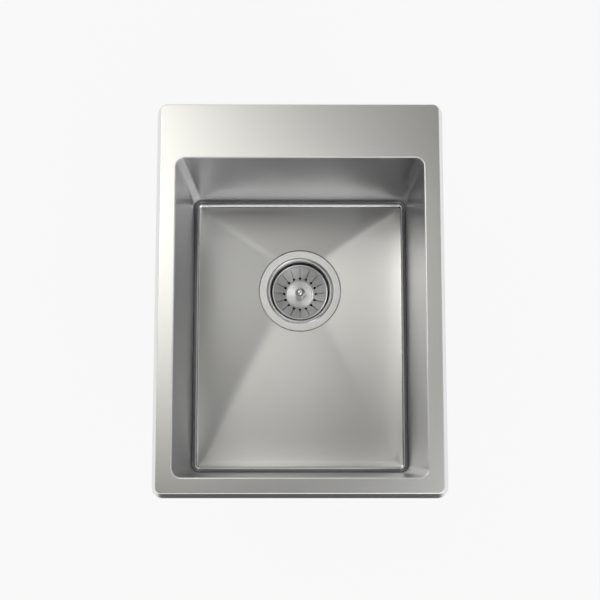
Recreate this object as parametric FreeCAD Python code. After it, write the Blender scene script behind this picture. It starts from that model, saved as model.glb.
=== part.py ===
"""A drop-in laundry sink: deck, deep bowl, basket waste and the clips that hold it in a bench.

Millimetres, +X to the right, +Y towards the wide back ledge, +Z up. The origin is the middle of
the rim's outline at the level of the bench top, where the rim seal rests.
"""
import FreeCAD, Part
import math
import os
from FreeCAD import Placement, Rotation, Vector

# Bowl
sheet = 1.2
bowl_width = 295.0
bowl_length = 376.0
bowl_depth = 250.0
bowl_corner = 10.5
floor_radius = 10.0
fillet_margin = 0.4
floor_border = 2.0
floor_fall = 9.0
crease_set_back = 20.0

# Deck round the bowl, with its leaning skirt
side_ledge = 19.0
front_ledge = 18.5
back_ledge = 65.5
deck_corner = 7.5
edge_bend = 0.8
skirt_height = 20.0
skirt_run = 6.5
return_width = 9.0
lip_depth = 6.0
lip_bend = 0.6

# Foam seal under the rim
seal_thickness = 2.0
seal_margin = 1.8
seal_inner_margin = 1.2

# Sound pads glued outside the bowl
pad_thickness = 3.0
pad_corner = 8.0
side_pad_length = 230.0
end_pad_length = 170.0
wall_pad_height = 110.0
wall_pad_drop = 75.0
floor_pad_width = 190.0
floor_pad_length = 140.0
floor_pad_gap = 12.0

# Dish of the basket waste, set in the floor
waste_from_back = 124.5
shoulder_radius = 47.0
flange_width = 10.0
flange_sheet = 1.2
shoulder_run = 5.5
throat_drop = 7.0
cup_taper = 0.9
cup_depth = 47.0
dish_bend = 2.4
recess_gap = 0.6
flush_gap = 0.1
waste_hole_gap = 1.4
outlet_hole_radius = 5.0
outlet_hole_land = 1.5
outlet_hole_count = 6

# Seals, moulded body and clamp screw of the waste
flange_seal_thickness = 0.8
flange_seal_width = 8.0
floor_seal_thickness = 3.0
floor_seal_width = 9.0
body_wall = 3.0
body_flange_margin = 0.6
body_flange_height = 4.0
funnel_drop = 24.0
outlet_radius = 29.8
outlet_wall = 4.4
outlet_length = 26.0
spoke_width = 4.0
spoke_height = 12.0
spoke_count = 3
screw_radius = 5.0
screw_head_overhang = 3.0
screw_head_height = 3.0
screw_length = 18.0
screw_clearance = 0.3
socket_depth = 17.0
insert_wall = 2.5
insert_height = 14.0
hub_wall = 2.5
hub_floor = 4.0

# Strainer: plug stem, seal, basket and knob
stem_radius = 2.9
stem_clearance = 0.3
stem_tip_gap = 2.0
plug_overlap = 5.5
plug_roof = 2.5
plug_bevel = 5.0
plug_lip = 1.0
plug_seat_gap = 0.2
plug_head_gap = 0.5
seal_plate_sheet = 1.2
lock_nut_radius = 6.0
lock_nut_height = 2.8
basket_sheet = 0.8
basket_play = 0.2
basket_gap = 3.0
basket_rim_drop = 13.0
rim_roll = 1.1
disc_radius = 18.3
disc_step = 1.0
gutter_width = 1.6
strainer_count = 16
strainer_hole_radius = 1.7
strainer_hole_land = 1.0
slit_width = 0.9
slit_margin = 2.5
knob_radius = 6.7
knob_height = 18.0
knob_collar_radius = 4.4
knob_collar_height = 2.0

# Rails under the deck
rail_gap = 0.8
rail_width = 10.0
rail_height = 8.0
rail_sheet = 1.0
side_rail_length = 330.0
end_rail_length = 190.0

# Clips that run in the rails and press up under the bench
side_clip_spacing = 200.0
bench_most = 34.0
bench_least = 18.0
strap_sheet = 2.0
strap_width = 18.0
strap_bend = 0.6
strap_play = 0.3
slot_gap = 0.8
hook_gap = 0.6
leg_margin = 6.0
collar_wall = 2.0
collar_height = 4.0
foot_radius = 5.5
foot_height = 4.0
foot_socket_depth = 2.0
foot_gap = 0.6
foot_wall_gap = 2.5
clip_screw_radius = 3.0
clip_screw_clearance = 0.3
clip_head_radius = 5.6
clip_head_height = 4.5
driver_slot_width = 1.4
driver_slot_depth = 2.0

# How far a cutting tool runs past the face that it cuts
over_cut = 1.0

# Outlines and levels of the deck and the bowl
deck_width = bowl_width + 2 * side_ledge
deck_length = bowl_length + front_ledge + back_ledge
rim_width = deck_width + 2 * skirt_run
rim_length = deck_length + 2 * skirt_run
deck_top = seal_thickness + skirt_height
deck_under = deck_top - sheet
lip_foot = deck_top - lip_depth
bowl_front = front_ledge - deck_length / 2
bowl_back = bowl_front + bowl_length
bowl_y = (bowl_front + bowl_back) / 2
floor_top = deck_top - bowl_depth
floor_bend = min(floor_radius, bowl_corner - fillet_margin)
well_width = bowl_width - 2 * (floor_bend + floor_border)
well_length = bowl_length - 2 * (floor_bend + floor_border)

# Levels and radii of the waste, from the floor's fall down to the outlet
waste_y = bowl_back - waste_from_back
apex_y = waste_y + crease_set_back
apex_z = floor_top - floor_fall
flange_radius = shoulder_radius + flange_width
recess_radius = flange_radius + recess_gap
waste_hole_radius = shoulder_radius + waste_hole_gap
front_run = apex_y - (bowl_y - well_length / 2)
recess_edge = apex_z + floor_fall * (crease_set_back + recess_radius) / front_run
flange_top = recess_edge - flush_gap
recess_floor = flange_top - flange_sheet - flange_seal_thickness
recess_under = recess_floor - sheet
throat_radius = shoulder_radius - shoulder_run
cup_radius = throat_radius - cup_taper
dish_floor = flange_top - cup_depth
dish_under = dish_floor - flange_sheet
body_top = recess_under - floor_seal_thickness
body_bore = shoulder_radius
body_radius = body_bore + body_wall
body_flange_radius = waste_hole_radius + floor_seal_width + body_flange_margin
outlet_top = dish_under - funnel_drop
outlet_foot = outlet_top - outlet_length
outlet_bore = outlet_radius - outlet_wall
screw_head_radius = screw_radius + screw_head_overhang
screw_hole_radius = screw_radius + screw_clearance
insert_radius = screw_hole_radius + insert_wall
hub_radius = insert_radius + hub_wall
hub_foot = dish_under - screw_length - hub_floor
outlet_hole_circle = screw_head_radius + outlet_hole_land + outlet_hole_radius

# Levels and radii of the strainer, stacked up from the dish's floor
socket_radius = stem_radius + stem_clearance
socket_foot = dish_floor + screw_head_height - socket_depth
stem_foot = socket_foot + stem_tip_gap
plug_radius = outlet_hole_circle + outlet_hole_radius + plug_overlap
plug_hollow = screw_head_height + plug_head_gap
plug_foot = dish_floor + plug_seat_gap
plug_top = plug_foot + plug_hollow + plug_roof
seal_plate_radius = plug_radius - plug_bevel
nut_foot = plug_top + seal_plate_sheet
basket_under = nut_foot + lock_nut_height
disc_top = basket_under + basket_sheet
gutter_top = disc_top - disc_step
gutter_radius = disc_radius + gutter_width
basket_rim_radius = cup_radius - basket_gap
basket_rim_top = flange_top - basket_rim_drop
basket_wall_radius = basket_rim_radius - rim_roll
strainer_hole_circle = gutter_radius + strainer_hole_land + strainer_hole_radius
slit_end_radius = basket_wall_radius - slit_margin
knob_foot = disc_top + basket_play

# Places and levels of the rails and clips
rail_off_bowl = sheet + rail_gap + rail_width / 2
rail_slot = strap_sheet + 2 * slot_gap
rail_foot = deck_under - rail_height
hook_length = rail_width / 2 - rail_sheet - hook_gap
hook_top = rail_foot + rail_sheet + strap_play + strap_sheet
foot_top = -bench_most
foot_under = foot_top - foot_height
leg_top = foot_under - foot_gap
collar_foot = leg_top - strap_sheet - collar_height
clamp_travel = bench_most - bench_least
head_top = collar_foot - clamp_travel - foot_gap
head_foot = head_top - clip_head_height
clip_screw_reach = strap_sheet / 2 + foot_wall_gap + foot_radius
clip_bore = clip_screw_radius + clip_screw_clearance

up = Vector(0, 0, 1)
full_turn = math.degrees(2 * math.pi)
sides = ("right", "back", "left", "front")


def rounded_loop(width, length, radius, centre_y, level):
    """A closed rectangle with round corners, flat at one level."""
    x = width / 2 - radius
    y = length / 2 - radius
    core = [
        Vector(-x, centre_y - y, level),
        Vector(x, centre_y - y, level),
        Vector(x, centre_y + y, level),
        Vector(-x, centre_y + y, level),
    ]
    return Part.makePolygon(core + core[:1]).makeOffset2D(radius)


def slab(width, length, radius, centre_y, low, high):
    """A plate or a block with round upright corners, between two levels."""
    face = Part.Face(rounded_loop(width, length, radius, centre_y, low))
    return face.extrude(up * (high - low))


def edges_at(solid, level):
    """The edges of a solid that lie at one level."""
    near = sheet / 100
    return [e for e in solid.Edges if all(abs(v.Z - level) < near for v in e.Vertexes)]


def bent_path(points, bend):
    """An open path in the XZ plane whose corners are arcs of one radius."""
    corners = [Vector(x, 0, z) for x, z in points]
    edges = []
    start = corners[0]
    for before, corner, after in zip(corners, corners[1:], corners[2:]):
        back = (before - corner).normalize()
        ahead = (after - corner).normalize()
        half = back.getAngle(ahead) / 2
        first = corner + back * (bend / math.tan(half))
        last = corner + ahead * (bend / math.tan(half))
        middle = corner + (back + ahead).normalize() * (bend / math.sin(half) - bend)
        edges.append(Part.LineSegment(start, first).toShape())
        edges.append(Part.Arc(first, middle, last).toShape())
        start = last
    edges.append(Part.LineSegment(start, corners[-1]).toShape())
    return Part.Wire(edges)


def bent_sheet(points, bend, thickness):
    """The section of a folded sheet: the path, run inwards, is its upper or inner skin."""
    return bent_path(points, bend).makeOffset2D(thickness, fill=True, openResult=True)


def spun(section):
    """A section in the XZ plane turned once round the waste's upright axis."""
    return section.revolve(Vector(), up, full_turn).translated(Vector(0, waste_y, 0))


def spun_outline(points):
    """A round piece turned from a closed outline of (radius, level) points."""
    corners = [Vector(radius, 0, level) for radius, level in points]
    return spun(Part.Face(Part.makePolygon(corners + corners[:1])))


def ring(inner, outer, low, high):
    """A plain round ring on the waste's axis."""
    return spun_outline([(inner, low), (outer, low), (outer, high), (inner, high)])


def rod(radius, low, high, off_axis=0.0):
    """A round upright rod on the waste's axis, or behind it by the given distance."""
    return Part.makeCylinder(radius, high - low, Vector(0, waste_y + off_axis, low))


def around_waste(shape, count):
    """Copies of a shape spread evenly round the waste's axis."""
    copies = []
    for index in range(count):
        copy = shape.copy()
        copy.rotate(Vector(0, waste_y, 0), up, full_turn * index / count)
        copies.append(copy)
    return Part.makeCompound(copies)


def hexagon(radius, low, high):
    """An upright hexagon bar round the Z axis."""
    sides = 6
    turns = [2 * math.pi * index / sides for index in range(sides + 1)]
    corners = [Vector(radius * math.cos(a), radius * math.sin(a), low) for a in turns]
    return Part.Face(Part.makePolygon(corners)).extrude(up * (high - low))


def on_side(shape, side, reach, centre_y, along):
    """Turn a shape that faces +X to one side of the sink, and set it out from (0, centre_y)."""
    turn = Rotation(up, full_turn * sides.index(side) / len(sides))
    run = Vector(0, along, 0) if side in ("left", "right") else Vector(along, 0, 0)
    spot = turn.multVec(Vector(reach, 0, 0)) + Vector(0, centre_y, 0) + run
    placed = shape.copy()
    placed.Placement = Placement(spot, turn).multiply(placed.Placement)
    return placed


def bowl_reach(side):
    """How far the bowl's inner face lies from the bowl's middle."""
    return bowl_width / 2 if side in ("left", "right") else bowl_length / 2


def rail_reach(side):
    """How far a rail's middle lies from the rim's middle."""
    if side == "front":
        return -bowl_front + rail_off_bowl
    ledge_run = side_ledge + skirt_run - rail_off_bowl
    return (rim_length if side == "back" else rim_width) / 2 - ledge_run


def skirt_block(low, high, inset):
    """The leaning block inside the skirt's planes, set in by the given distance."""
    loops = []
    for level in (low, high):
        out = skirt_run * (deck_top - level) / skirt_height - inset
        width = deck_width + 2 * out
        length = deck_length + 2 * out
        loops.append(rounded_loop(width, length, deck_corner + out, 0, level))
    return Part.makeLoft(loops, True, True)


def make_deck():
    """Top sheet with its skirt, return flange and the lip that the bowl is welded to."""
    lean = math.hypot(skirt_run, skirt_height) / skirt_height
    outside = skirt_block(seal_thickness, deck_top, 0)
    outside = outside.makeFillet(edge_bend + sheet, edges_at(outside, deck_top))
    inside = skirt_block(seal_thickness + sheet, deck_under, sheet * lean)
    inside = inside.makeFillet(edge_bend, edges_at(inside, deck_under))
    flange_hole = slab(
        rim_width - 2 * return_width,
        rim_length - 2 * return_width,
        deck_corner,
        0,
        seal_thickness - over_cut,
        seal_thickness + sheet + over_cut,
    )
    lip = slab(
        bowl_width + 2 * sheet,
        bowl_length + 2 * sheet,
        bowl_corner + sheet,
        bowl_y,
        lip_foot,
        deck_under,
    )
    opening = slab(
        bowl_width, bowl_length, bowl_corner, bowl_y, lip_foot - over_cut, deck_top + over_cut
    )
    deck = outside.cut(inside).cut(flange_hole).fuse(lip).removeSplitter().cut(opening)
    mouth = opening.BoundBox
    mouth.enlarge(sheet / 2)
    mouth_edges = [e for e in edges_at(deck, deck_top) if mouth.isInside(e.BoundBox)]
    return deck.makeFillet(lip_bend + sheet, mouth_edges)


def make_rim_seal():
    """Foam loop stuck under the return flange."""
    width = rim_width - 2 * seal_margin
    length = rim_length - 2 * seal_margin
    corner = deck_corner + skirt_run - seal_margin
    band = return_width - seal_margin - seal_inner_margin
    hole = slab(
        width - 2 * band,
        length - 2 * band,
        corner - band,
        0,
        -over_cut,
        seal_thickness + over_cut,
    )
    return slab(width, length, corner, 0, 0, seal_thickness).cut(hole)


def floor_well(top, shift):
    """The shallow four-sided well whose creases run from the floor's corners to the waste."""
    x = well_width / 2
    y = well_length / 2
    brim = [
        Vector(-x, bowl_y - y, floor_top + shift),
        Vector(x, bowl_y - y, floor_top + shift),
        Vector(x, bowl_y + y, floor_top + shift),
        Vector(-x, bowl_y + y, floor_top + shift),
    ]
    lid = [Vector(corner.x, corner.y, top) for corner in brim]
    apex = Vector(0, apex_y, apex_z + shift)
    loops = [lid]
    for here, corner in enumerate(brim):
        before = here - 1
        loops.append([lid[before], lid[here], corner, brim[before]])
        loops.append([brim[before], corner, apex])
    faces = [Part.Face(Part.makePolygon(loop + loop[:1])) for loop in loops]
    return Part.makeSolid(Part.makeShell(faces))


def bowl_block(wall, top):
    """The bowl as a full block: its hollow with no wall, its outside with the sheet added."""
    block = slab(
        bowl_width + 2 * wall,
        bowl_length + 2 * wall,
        bowl_corner + wall,
        bowl_y,
        floor_top - wall,
        top,
    )
    block = block.makeFillet(floor_bend + wall, edges_at(block, floor_top - wall))
    well = floor_well(floor_top + floor_border, -wall)
    recess = rod(recess_radius + wall, recess_floor - wall, floor_top + floor_border)
    return block.fuse(well).fuse(recess)


def make_bowl():
    """Pressed bowl with a sunk seat round the waste hole."""
    lowest = min(recess_under, apex_z - sheet)
    hole = rod(waste_hole_radius, lowest - over_cut, floor_top)
    return bowl_block(sheet, lip_foot).cut(bowl_block(0, lip_foot + over_cut)).cut(hole)


def make_wall_pad(side, length):
    """Sound pad on the outside of one wall."""
    high = deck_top - wall_pad_drop
    low = high - wall_pad_height
    pad = Part.makeBox(pad_thickness, length, wall_pad_height, Vector(0, -length / 2, low))
    across = [e for e in pad.Edges if e.BoundBox.XLength > pad_thickness / 2]
    pad = pad.makeFillet(pad_corner, across)
    return on_side(pad, side, bowl_reach(side) + sheet, bowl_y, 0)


def make_floor_pad():
    """Sound pad under the floor in front of the waste, following the creased facets."""
    back = waste_y - body_flange_radius - floor_pad_gap
    under = floor_top - sheet
    column = slab(
        floor_pad_width,
        floor_pad_length,
        pad_corner,
        back - floor_pad_length / 2,
        apex_z - sheet - 2 * pad_thickness,
        under,
    )
    layer = floor_well(under, -sheet - pad_thickness).cut(floor_well(under + over_cut, -sheet))
    return column.common(layer)


def make_waste_flange():
    """Pressed dish with its flange in the floor, outlet holes and a hole for the clamp screw."""
    section = bent_sheet(
        [
            (flange_radius, flange_top),
            (shoulder_radius, flange_top),
            (throat_radius, flange_top - throat_drop),
            (cup_radius, dish_floor),
            (screw_hole_radius, dish_floor),
        ],
        dish_bend,
        flange_sheet,
    )
    hole = rod(
        outlet_hole_radius, dish_under - over_cut, dish_floor + over_cut, outlet_hole_circle
    )
    return spun(section).cut(around_waste(hole, outlet_hole_count))


def make_flange_seal():
    """Thin gasket between the flange and its seat in the floor."""
    inner = flange_radius - flange_seal_width
    return ring(inner, flange_radius, recess_floor, flange_top - flange_sheet)


def make_floor_seal():
    """Rubber washer between the floor's underside and the waste body."""
    outer = waste_hole_radius + floor_seal_width
    return ring(waste_hole_radius, outer, body_top, recess_under)


def make_waste_body():
    """Moulded lower body: cup, funnel, outlet, and a hub on spokes for the clamp screw."""
    shell = spun_outline(
        [
            (body_bore, body_top),
            (body_flange_radius, body_top),
            (body_flange_radius, body_top - body_flange_height),
            (body_radius, body_top - body_flange_height),
            (body_radius, dish_under),
            (outlet_radius, outlet_top),
            (outlet_radius, outlet_foot),
            (outlet_bore, outlet_foot),
            (outlet_bore, outlet_top),
            (body_bore, dish_under),
        ]
    )
    hollow = spun_outline(
        [
            (0, dish_under),
            (body_bore + body_wall / 2, dish_under),
            (outlet_bore + body_wall / 2, outlet_top),
            (0, outlet_top),
        ]
    )
    spoke = Part.makeBox(
        spoke_width,
        body_radius,
        spoke_height,
        Vector(-spoke_width / 2, waste_y, dish_under - spoke_height),
    )
    spider = around_waste(spoke, spoke_count).common(hollow)
    hub = rod(hub_radius, hub_foot, dish_under)
    pocket = rod(insert_radius, dish_under - insert_height, dish_under + over_cut)
    well = rod(screw_hole_radius, dish_under - screw_length - over_cut, dish_under)
    return shell.fuse(hub).fuse(spider).removeSplitter().cut(pocket).cut(well)


def make_clamp_insert():
    """Threaded insert in the hub, under the dish."""
    return ring(screw_hole_radius, insert_radius, dish_under - insert_height, dish_under)


def make_clamp_screw():
    """Hollow-headed screw that draws the dish and the waste body together."""
    head_crown = dish_floor + screw_head_height
    head = rod(screw_head_radius, dish_floor, head_crown)
    shank = rod(screw_radius, dish_under - screw_length, dish_floor)
    socket = rod(socket_radius, socket_foot, head_crown + over_cut)
    return head.fuse(shank).removeSplitter().cut(socket)


def make_stem():
    """Long pin from the knob down into the clamp screw's socket."""
    return rod(stem_radius, stem_foot, knob_foot)


def make_plug_seal():
    """Rubber plug over the outlet holes, hollowed to pass the screw's head."""
    hollow_radius = screw_head_radius + plug_head_gap
    return spun_outline(
        [
            (stem_radius, plug_top),
            (stem_radius, plug_foot + plug_hollow),
            (hollow_radius, plug_foot + plug_hollow),
            (hollow_radius, plug_foot),
            (plug_radius, plug_foot),
            (plug_radius, plug_foot + plug_lip),
            (seal_plate_radius, plug_top),
        ]
    )


def make_seal_plate():
    """Stainless disc that backs the rubber plug."""
    return ring(stem_radius, seal_plate_radius, plug_top, nut_foot)


def make_lock_nut():
    """Nut on the stem that clamps the plug and carries the basket."""
    nut = hexagon(lock_nut_radius, nut_foot, basket_under).translated(Vector(0, waste_y, 0))
    return nut.cut(rod(stem_radius, nut_foot - over_cut, basket_under + over_cut))


def make_basket():
    """Strainer dish: raised disc, sloping wall with holes and slits, rolled rim."""
    section = bent_sheet(
        [
            (basket_wall_radius, basket_rim_top - rim_roll),
            (gutter_radius, gutter_top),
            (disc_radius, gutter_top),
            (disc_radius - disc_step / 2, disc_top),
            (stem_radius + stem_clearance, disc_top),
        ],
        disc_step / 4,
        basket_sheet,
    )
    roll = Part.makeTorus(
        basket_wall_radius, rim_roll, Vector(0, waste_y, basket_rim_top - rim_roll), up
    )
    low = gutter_top - basket_sheet - over_cut
    hole = rod(strainer_hole_radius, low, basket_rim_top, strainer_hole_circle)
    slit = Part.makeBox(
        slit_width,
        slit_end_radius - strainer_hole_circle,
        basket_rim_top - low,
        Vector(-slit_width / 2, waste_y + strainer_hole_circle, low),
    )
    cuts = around_waste(hole.fuse(slit), strainer_count)
    return spun(section).fuse(roll).removeSplitter().cut(cuts)


def make_knob():
    """Ball knob with a post and a collar over the stem's end."""
    centre = knob_foot + knob_height
    collar = rod(knob_collar_radius, knob_foot, knob_foot + knob_collar_height)
    post = rod(stem_radius, knob_foot, centre)
    ball = Part.makeSphere(knob_radius, Vector(0, waste_y, centre))
    return collar.fuse(post).fuse(ball).removeSplitter()


def make_rail(side, length):
    """Channel welded under the deck, with a slot in its underside."""

    def bar(width, overrun, low, high):
        """A straight bar along the rail, longer than it by the overrun at each end."""
        start = Vector(-width / 2, -length / 2 - overrun, low)
        return Part.makeBox(width, length + 2 * overrun, high - low, start)

    block = bar(rail_width, 0, rail_foot, deck_under)
    hollow = bar(
        rail_width - 2 * rail_sheet, over_cut, rail_foot + rail_sheet, deck_under - rail_sheet
    )
    slot = bar(rail_slot, over_cut, rail_foot - over_cut, rail_foot + rail_sheet + over_cut)
    return on_side(block.cut(hollow).cut(slot), side, rail_reach(side), 0, 0)


def make_strap():
    """Folded clip strap: hook in the rail, upright, and a leg with a threaded collar."""
    face = strap_sheet / 2
    section = bent_sheet(
        [
            (clip_screw_reach + leg_margin, leg_top),
            (face, leg_top),
            (face, hook_top),
            (-hook_length, hook_top),
        ],
        strap_bend + strap_sheet,
        strap_sheet,
    )
    strip = section.extrude(Vector(0, strap_width, 0)).translated(Vector(0, -strap_width / 2, 0))
    axis_foot = Vector(clip_screw_reach, 0, collar_foot)
    collar = Part.makeCylinder(clip_bore + collar_wall, collar_height, axis_foot)
    hole = Part.makeCylinder(
        clip_bore, leg_top - collar_foot + 2 * over_cut, axis_foot - up * over_cut
    )
    return strip.fuse(collar).removeSplitter().cut(hole)


def make_foot():
    """Pressure foot with a blind socket for the screw's tip."""
    axis_foot = Vector(clip_screw_reach, 0, foot_under)
    foot = Part.makeCylinder(foot_radius, foot_height, axis_foot)
    socket = Part.makeCylinder(
        clip_bore, foot_socket_depth + over_cut, axis_foot - up * over_cut
    )
    return foot.cut(socket)


def make_clip_screw():
    """Clamp screw with a slotted hexagon head, hanging below the strap's leg."""
    tip = foot_under + foot_socket_depth
    axis_foot = Vector(clip_screw_reach, 0, head_top)
    shank = Part.makeCylinder(clip_screw_radius, tip - head_top, axis_foot)
    head = hexagon(clip_head_radius, head_foot, head_top)
    slot = Part.makeBox(
        2 * clip_head_radius,
        driver_slot_width,
        driver_slot_depth + over_cut,
        Vector(-clip_head_radius, -driver_slot_width / 2, head_foot - over_cut),
    )
    return shank.fuse(head.cut(slot).translated(Vector(clip_screw_reach, 0, 0)))


def make_clips():
    """Strap, foot and screw of each clip by node name."""
    half = side_clip_spacing / 2
    places = {
        "left_front": ("left", -half),
        "left_back": ("left", half),
        "right_front": ("right", -half),
        "right_back": ("right", half),
        "front": ("front", 0),
        "back": ("back", 0),
    }
    pieces = {"strap": make_strap(), "foot": make_foot(), "clip_screw": make_clip_screw()}
    nodes = {}
    for name, (side, along) in places.items():
        for piece, shape in pieces.items():
            nodes[f"{name}_{piece}"] = on_side(shape, side, rail_reach(side), 0, along)
    return nodes


def make_sink():
    """Every piece of the sink by node name."""
    nodes = {
        "deck": make_deck(),
        "bowl": make_bowl(),
        "rim_seal": make_rim_seal(),
        "floor_pad": make_floor_pad(),
        "waste_flange": make_waste_flange(),
        "flange_seal": make_flange_seal(),
        "floor_seal": make_floor_seal(),
        "waste_body": make_waste_body(),
        "clamp_insert": make_clamp_insert(),
        "clamp_screw": make_clamp_screw(),
        "stem": make_stem(),
        "plug_seal": make_plug_seal(),
        "seal_plate": make_seal_plate(),
        "lock_nut": make_lock_nut(),
        "basket": make_basket(),
        "knob": make_knob(),
    }
    for side in sides:
        is_end = side in ("front", "back")
        pad_length = end_pad_length if is_end else side_pad_length
        rail_length = end_rail_length if is_end else side_rail_length
        nodes[f"{side}_pad"] = make_wall_pad(side, pad_length)
        nodes[f"{side}_rail"] = make_rail(side, rail_length)
    nodes.update(make_clips())
    return nodes


os.makedirs("parts", exist_ok=True)
for node, shape in make_sink().items():
    shape.exportStep(f"parts/{node}.step")
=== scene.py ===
"""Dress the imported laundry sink: fine meshes, finishes, studio light and camera.

The classes work in millimetres in the sink's own frame: +X right, +Y to the back ledge, +Z up,
with the origin at the bench top. Draft turns what they make into metres.
"""
import logging
import math
from dataclasses import dataclass, field
from enum import Enum
from typing import Iterable, NamedTuple, Optional, Sequence

import bmesh
import bpy
from mathutils import Matrix, Vector


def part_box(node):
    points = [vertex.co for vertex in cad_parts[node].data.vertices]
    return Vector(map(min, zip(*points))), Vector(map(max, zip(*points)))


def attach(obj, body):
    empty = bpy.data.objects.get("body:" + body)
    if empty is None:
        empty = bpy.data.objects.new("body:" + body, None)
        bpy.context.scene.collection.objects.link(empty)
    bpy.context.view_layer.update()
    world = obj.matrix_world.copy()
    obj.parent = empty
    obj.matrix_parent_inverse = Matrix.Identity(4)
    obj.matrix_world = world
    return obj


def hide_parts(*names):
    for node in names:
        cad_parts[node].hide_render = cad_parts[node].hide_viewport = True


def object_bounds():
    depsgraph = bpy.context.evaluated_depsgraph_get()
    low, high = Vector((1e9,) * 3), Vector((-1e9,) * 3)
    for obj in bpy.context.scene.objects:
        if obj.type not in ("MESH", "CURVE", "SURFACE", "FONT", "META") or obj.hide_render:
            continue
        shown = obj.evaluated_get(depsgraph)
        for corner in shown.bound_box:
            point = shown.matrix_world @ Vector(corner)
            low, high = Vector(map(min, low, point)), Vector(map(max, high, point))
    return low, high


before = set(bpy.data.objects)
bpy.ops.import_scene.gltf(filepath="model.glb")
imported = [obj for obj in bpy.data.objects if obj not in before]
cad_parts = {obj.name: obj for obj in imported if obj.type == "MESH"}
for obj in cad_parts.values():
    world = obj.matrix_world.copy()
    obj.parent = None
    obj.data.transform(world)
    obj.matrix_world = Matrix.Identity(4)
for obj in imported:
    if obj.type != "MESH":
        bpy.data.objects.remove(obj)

CAD_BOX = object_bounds()
MM = 0.001
FULL_TURN = 2 * math.pi
SHARP_ANGLE = math.radians(35)
LOG = logging.getLogger("laundry_sink")

Flat = tuple[float, float]
Colour = tuple[float, float, float]
Thing = bpy.types.Object
Socket = bpy.types.NodeSocket
ORIGIN: Flat = (0.0, 0.0)


class Corner(NamedTuple):
    """A point of a section, with the radius that its corner is rounded to."""

    x: float
    z: float
    radius: float = 0.0


class Side(Enum):
    """A side of the sink, with the turn in degrees that takes +X to it."""

    RIGHT = 0.0
    BACK = 90.0
    LEFT = 180.0
    FRONT = 270.0

    def matrix(self, spot: Vector) -> Matrix:
        """The turn to this side followed by the move to a spot in millimetres."""
        return Matrix.Translation(spot * MM) @ Matrix.Rotation(math.radians(self.value), 4, "Z")


def box_mm(node: str) -> tuple[Vector, Vector]:
    """Lowest and highest corner of a CAD node at rest, in millimetres."""
    low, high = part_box(node)
    return low / MM, high / MM


def middle_mm(node: str) -> Vector:
    """Middle of a CAD node's box at rest, in millimetres."""
    low, high = box_mm(node)
    return (low + high) / 2


def soften(corners: Sequence[Corner], closed: bool = False, steps: int = 8, hold: float = 0.0) -> list[Flat]:
    """Round the corners of a section.

    Args:
        corners: The section's points in order, each with its corner radius.
        closed: Whether the last point joins the first.
        steps: Straight pieces in each rounded corner.
        hold: Distance of an extra point before and after each corner, which keeps flats flat.

    Returns:
        The points of the rounded section.
    """
    count = len(corners)
    path: list[Flat] = []
    for here, corner in enumerate(corners):
        at_end = not closed and here in (0, count - 1)
        spot = Vector((corner.x, corner.z))
        if at_end or corner.radius <= 0:
            path.append(tuple(spot))
            continue
        back = (Vector(corners[here - 1][:2]) - spot).normalized()
        ahead = (Vector(corners[(here + 1) % count][:2]) - spot).normalized()
        half = back.angle(ahead) / 2
        reach = corner.radius / math.tan(half)
        centre = spot + (back + ahead).normalized() * (corner.radius / math.sin(half))
        first = spot + back * reach
        last = spot + ahead * reach
        sweep = math.pi - 2 * half
        if hold:
            path.append(tuple(first + back * hold))
        for share in (step / steps for step in range(steps + 1)):
            arm = (first - centre) * math.sin((1 - share) * sweep)
            arm += (last - centre) * math.sin(share * sweep)
            path.append(tuple(centre + arm / math.sin(sweep)))
        if hold:
            path.append(tuple(last + ahead * hold))
    return path


def beside(path: Sequence[Flat], distance: float) -> list[Flat]:
    """The path that runs at a distance on the left of an open path.

    Args:
        path: Points of the path.
        distance: How far to the left the new path runs.

    Returns:
        As many points as the path has.
    """
    points = [Vector(point) for point in path]
    normals = [Vector((a.y - b.y, b.x - a.x)).normalized() for a, b in zip(points, points[1:])]
    moved = []
    for point, before, after in zip(points, normals[:1] + normals, normals + normals[-1:]):
        moved.append(tuple(point + (before + after) * (distance / (1 + before.dot(after)))))
    return moved


def sheet_section(path: Sequence[Flat], thickness: float, steps: int = 6) -> list[Flat]:
    """Close a path into the section of a sheet with round edges, lying on the path's left.

    Args:
        path: Points of the sheet's first skin.
        thickness: The sheet's thickness.
        steps: Straight pieces in each round edge.

    Returns:
        The closed section.
    """
    skin = [Vector(point) for point in path]
    start_way = (skin[0] - skin[1]).normalized() * (thickness / 2)
    end_way = (skin[-1] - skin[-2]).normalized() * (thickness / 2)
    skin[0] -= start_way
    skin[-1] -= end_way
    skin.insert(1, skin[0] - start_way / 2)
    skin.insert(-1, skin[-1] - end_way / 2)
    other = [Vector(point) for point in beside(skin, thickness)]

    def round_edge(from_skin: Vector, to_skin: Vector, way: Vector) -> list[Vector]:
        """The half circle that joins two skins at an edge.

        Args:
            from_skin: Last point of the skin that it leaves.
            to_skin: First point of the skin that it meets.
            way: From the edge's middle to the half circle's top.

        Returns:
            The points between the two skins.
        """
        centre = (from_skin + to_skin) / 2
        arm = from_skin - centre
        turns = [math.pi * step / steps for step in range(1, steps)]
        return [centre + arm * math.cos(turn) + way * math.sin(turn) for turn in turns]

    closed = skin + round_edge(skin[-1], other[-1], end_way) + other[::-1]
    closed += round_edge(other[0], skin[0], start_way)
    return [tuple(point) for point in closed]


def rod_section(
    radius: float, low: float, high: float, below: float = 0.0, above: float = 0.0
) -> list[Flat]:
    """Section of a rod, from its axis round to its axis.

    Args:
        radius: The rod's radius.
        low: Its lower end.
        high: Its upper end.
        below: Chamfer of the lower end, or zero.
        above: Chamfer of the upper end, or zero.

    Returns:
        Points of radius and height.
    """
    foot = [(radius - below, low), (radius, low + below)] if below else [(radius, low)]
    head = [(radius, high - above), (radius - above, high)] if above else [(radius, high)]
    return [(0.0, low), *foot, *head, (0.0, high)]


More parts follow.
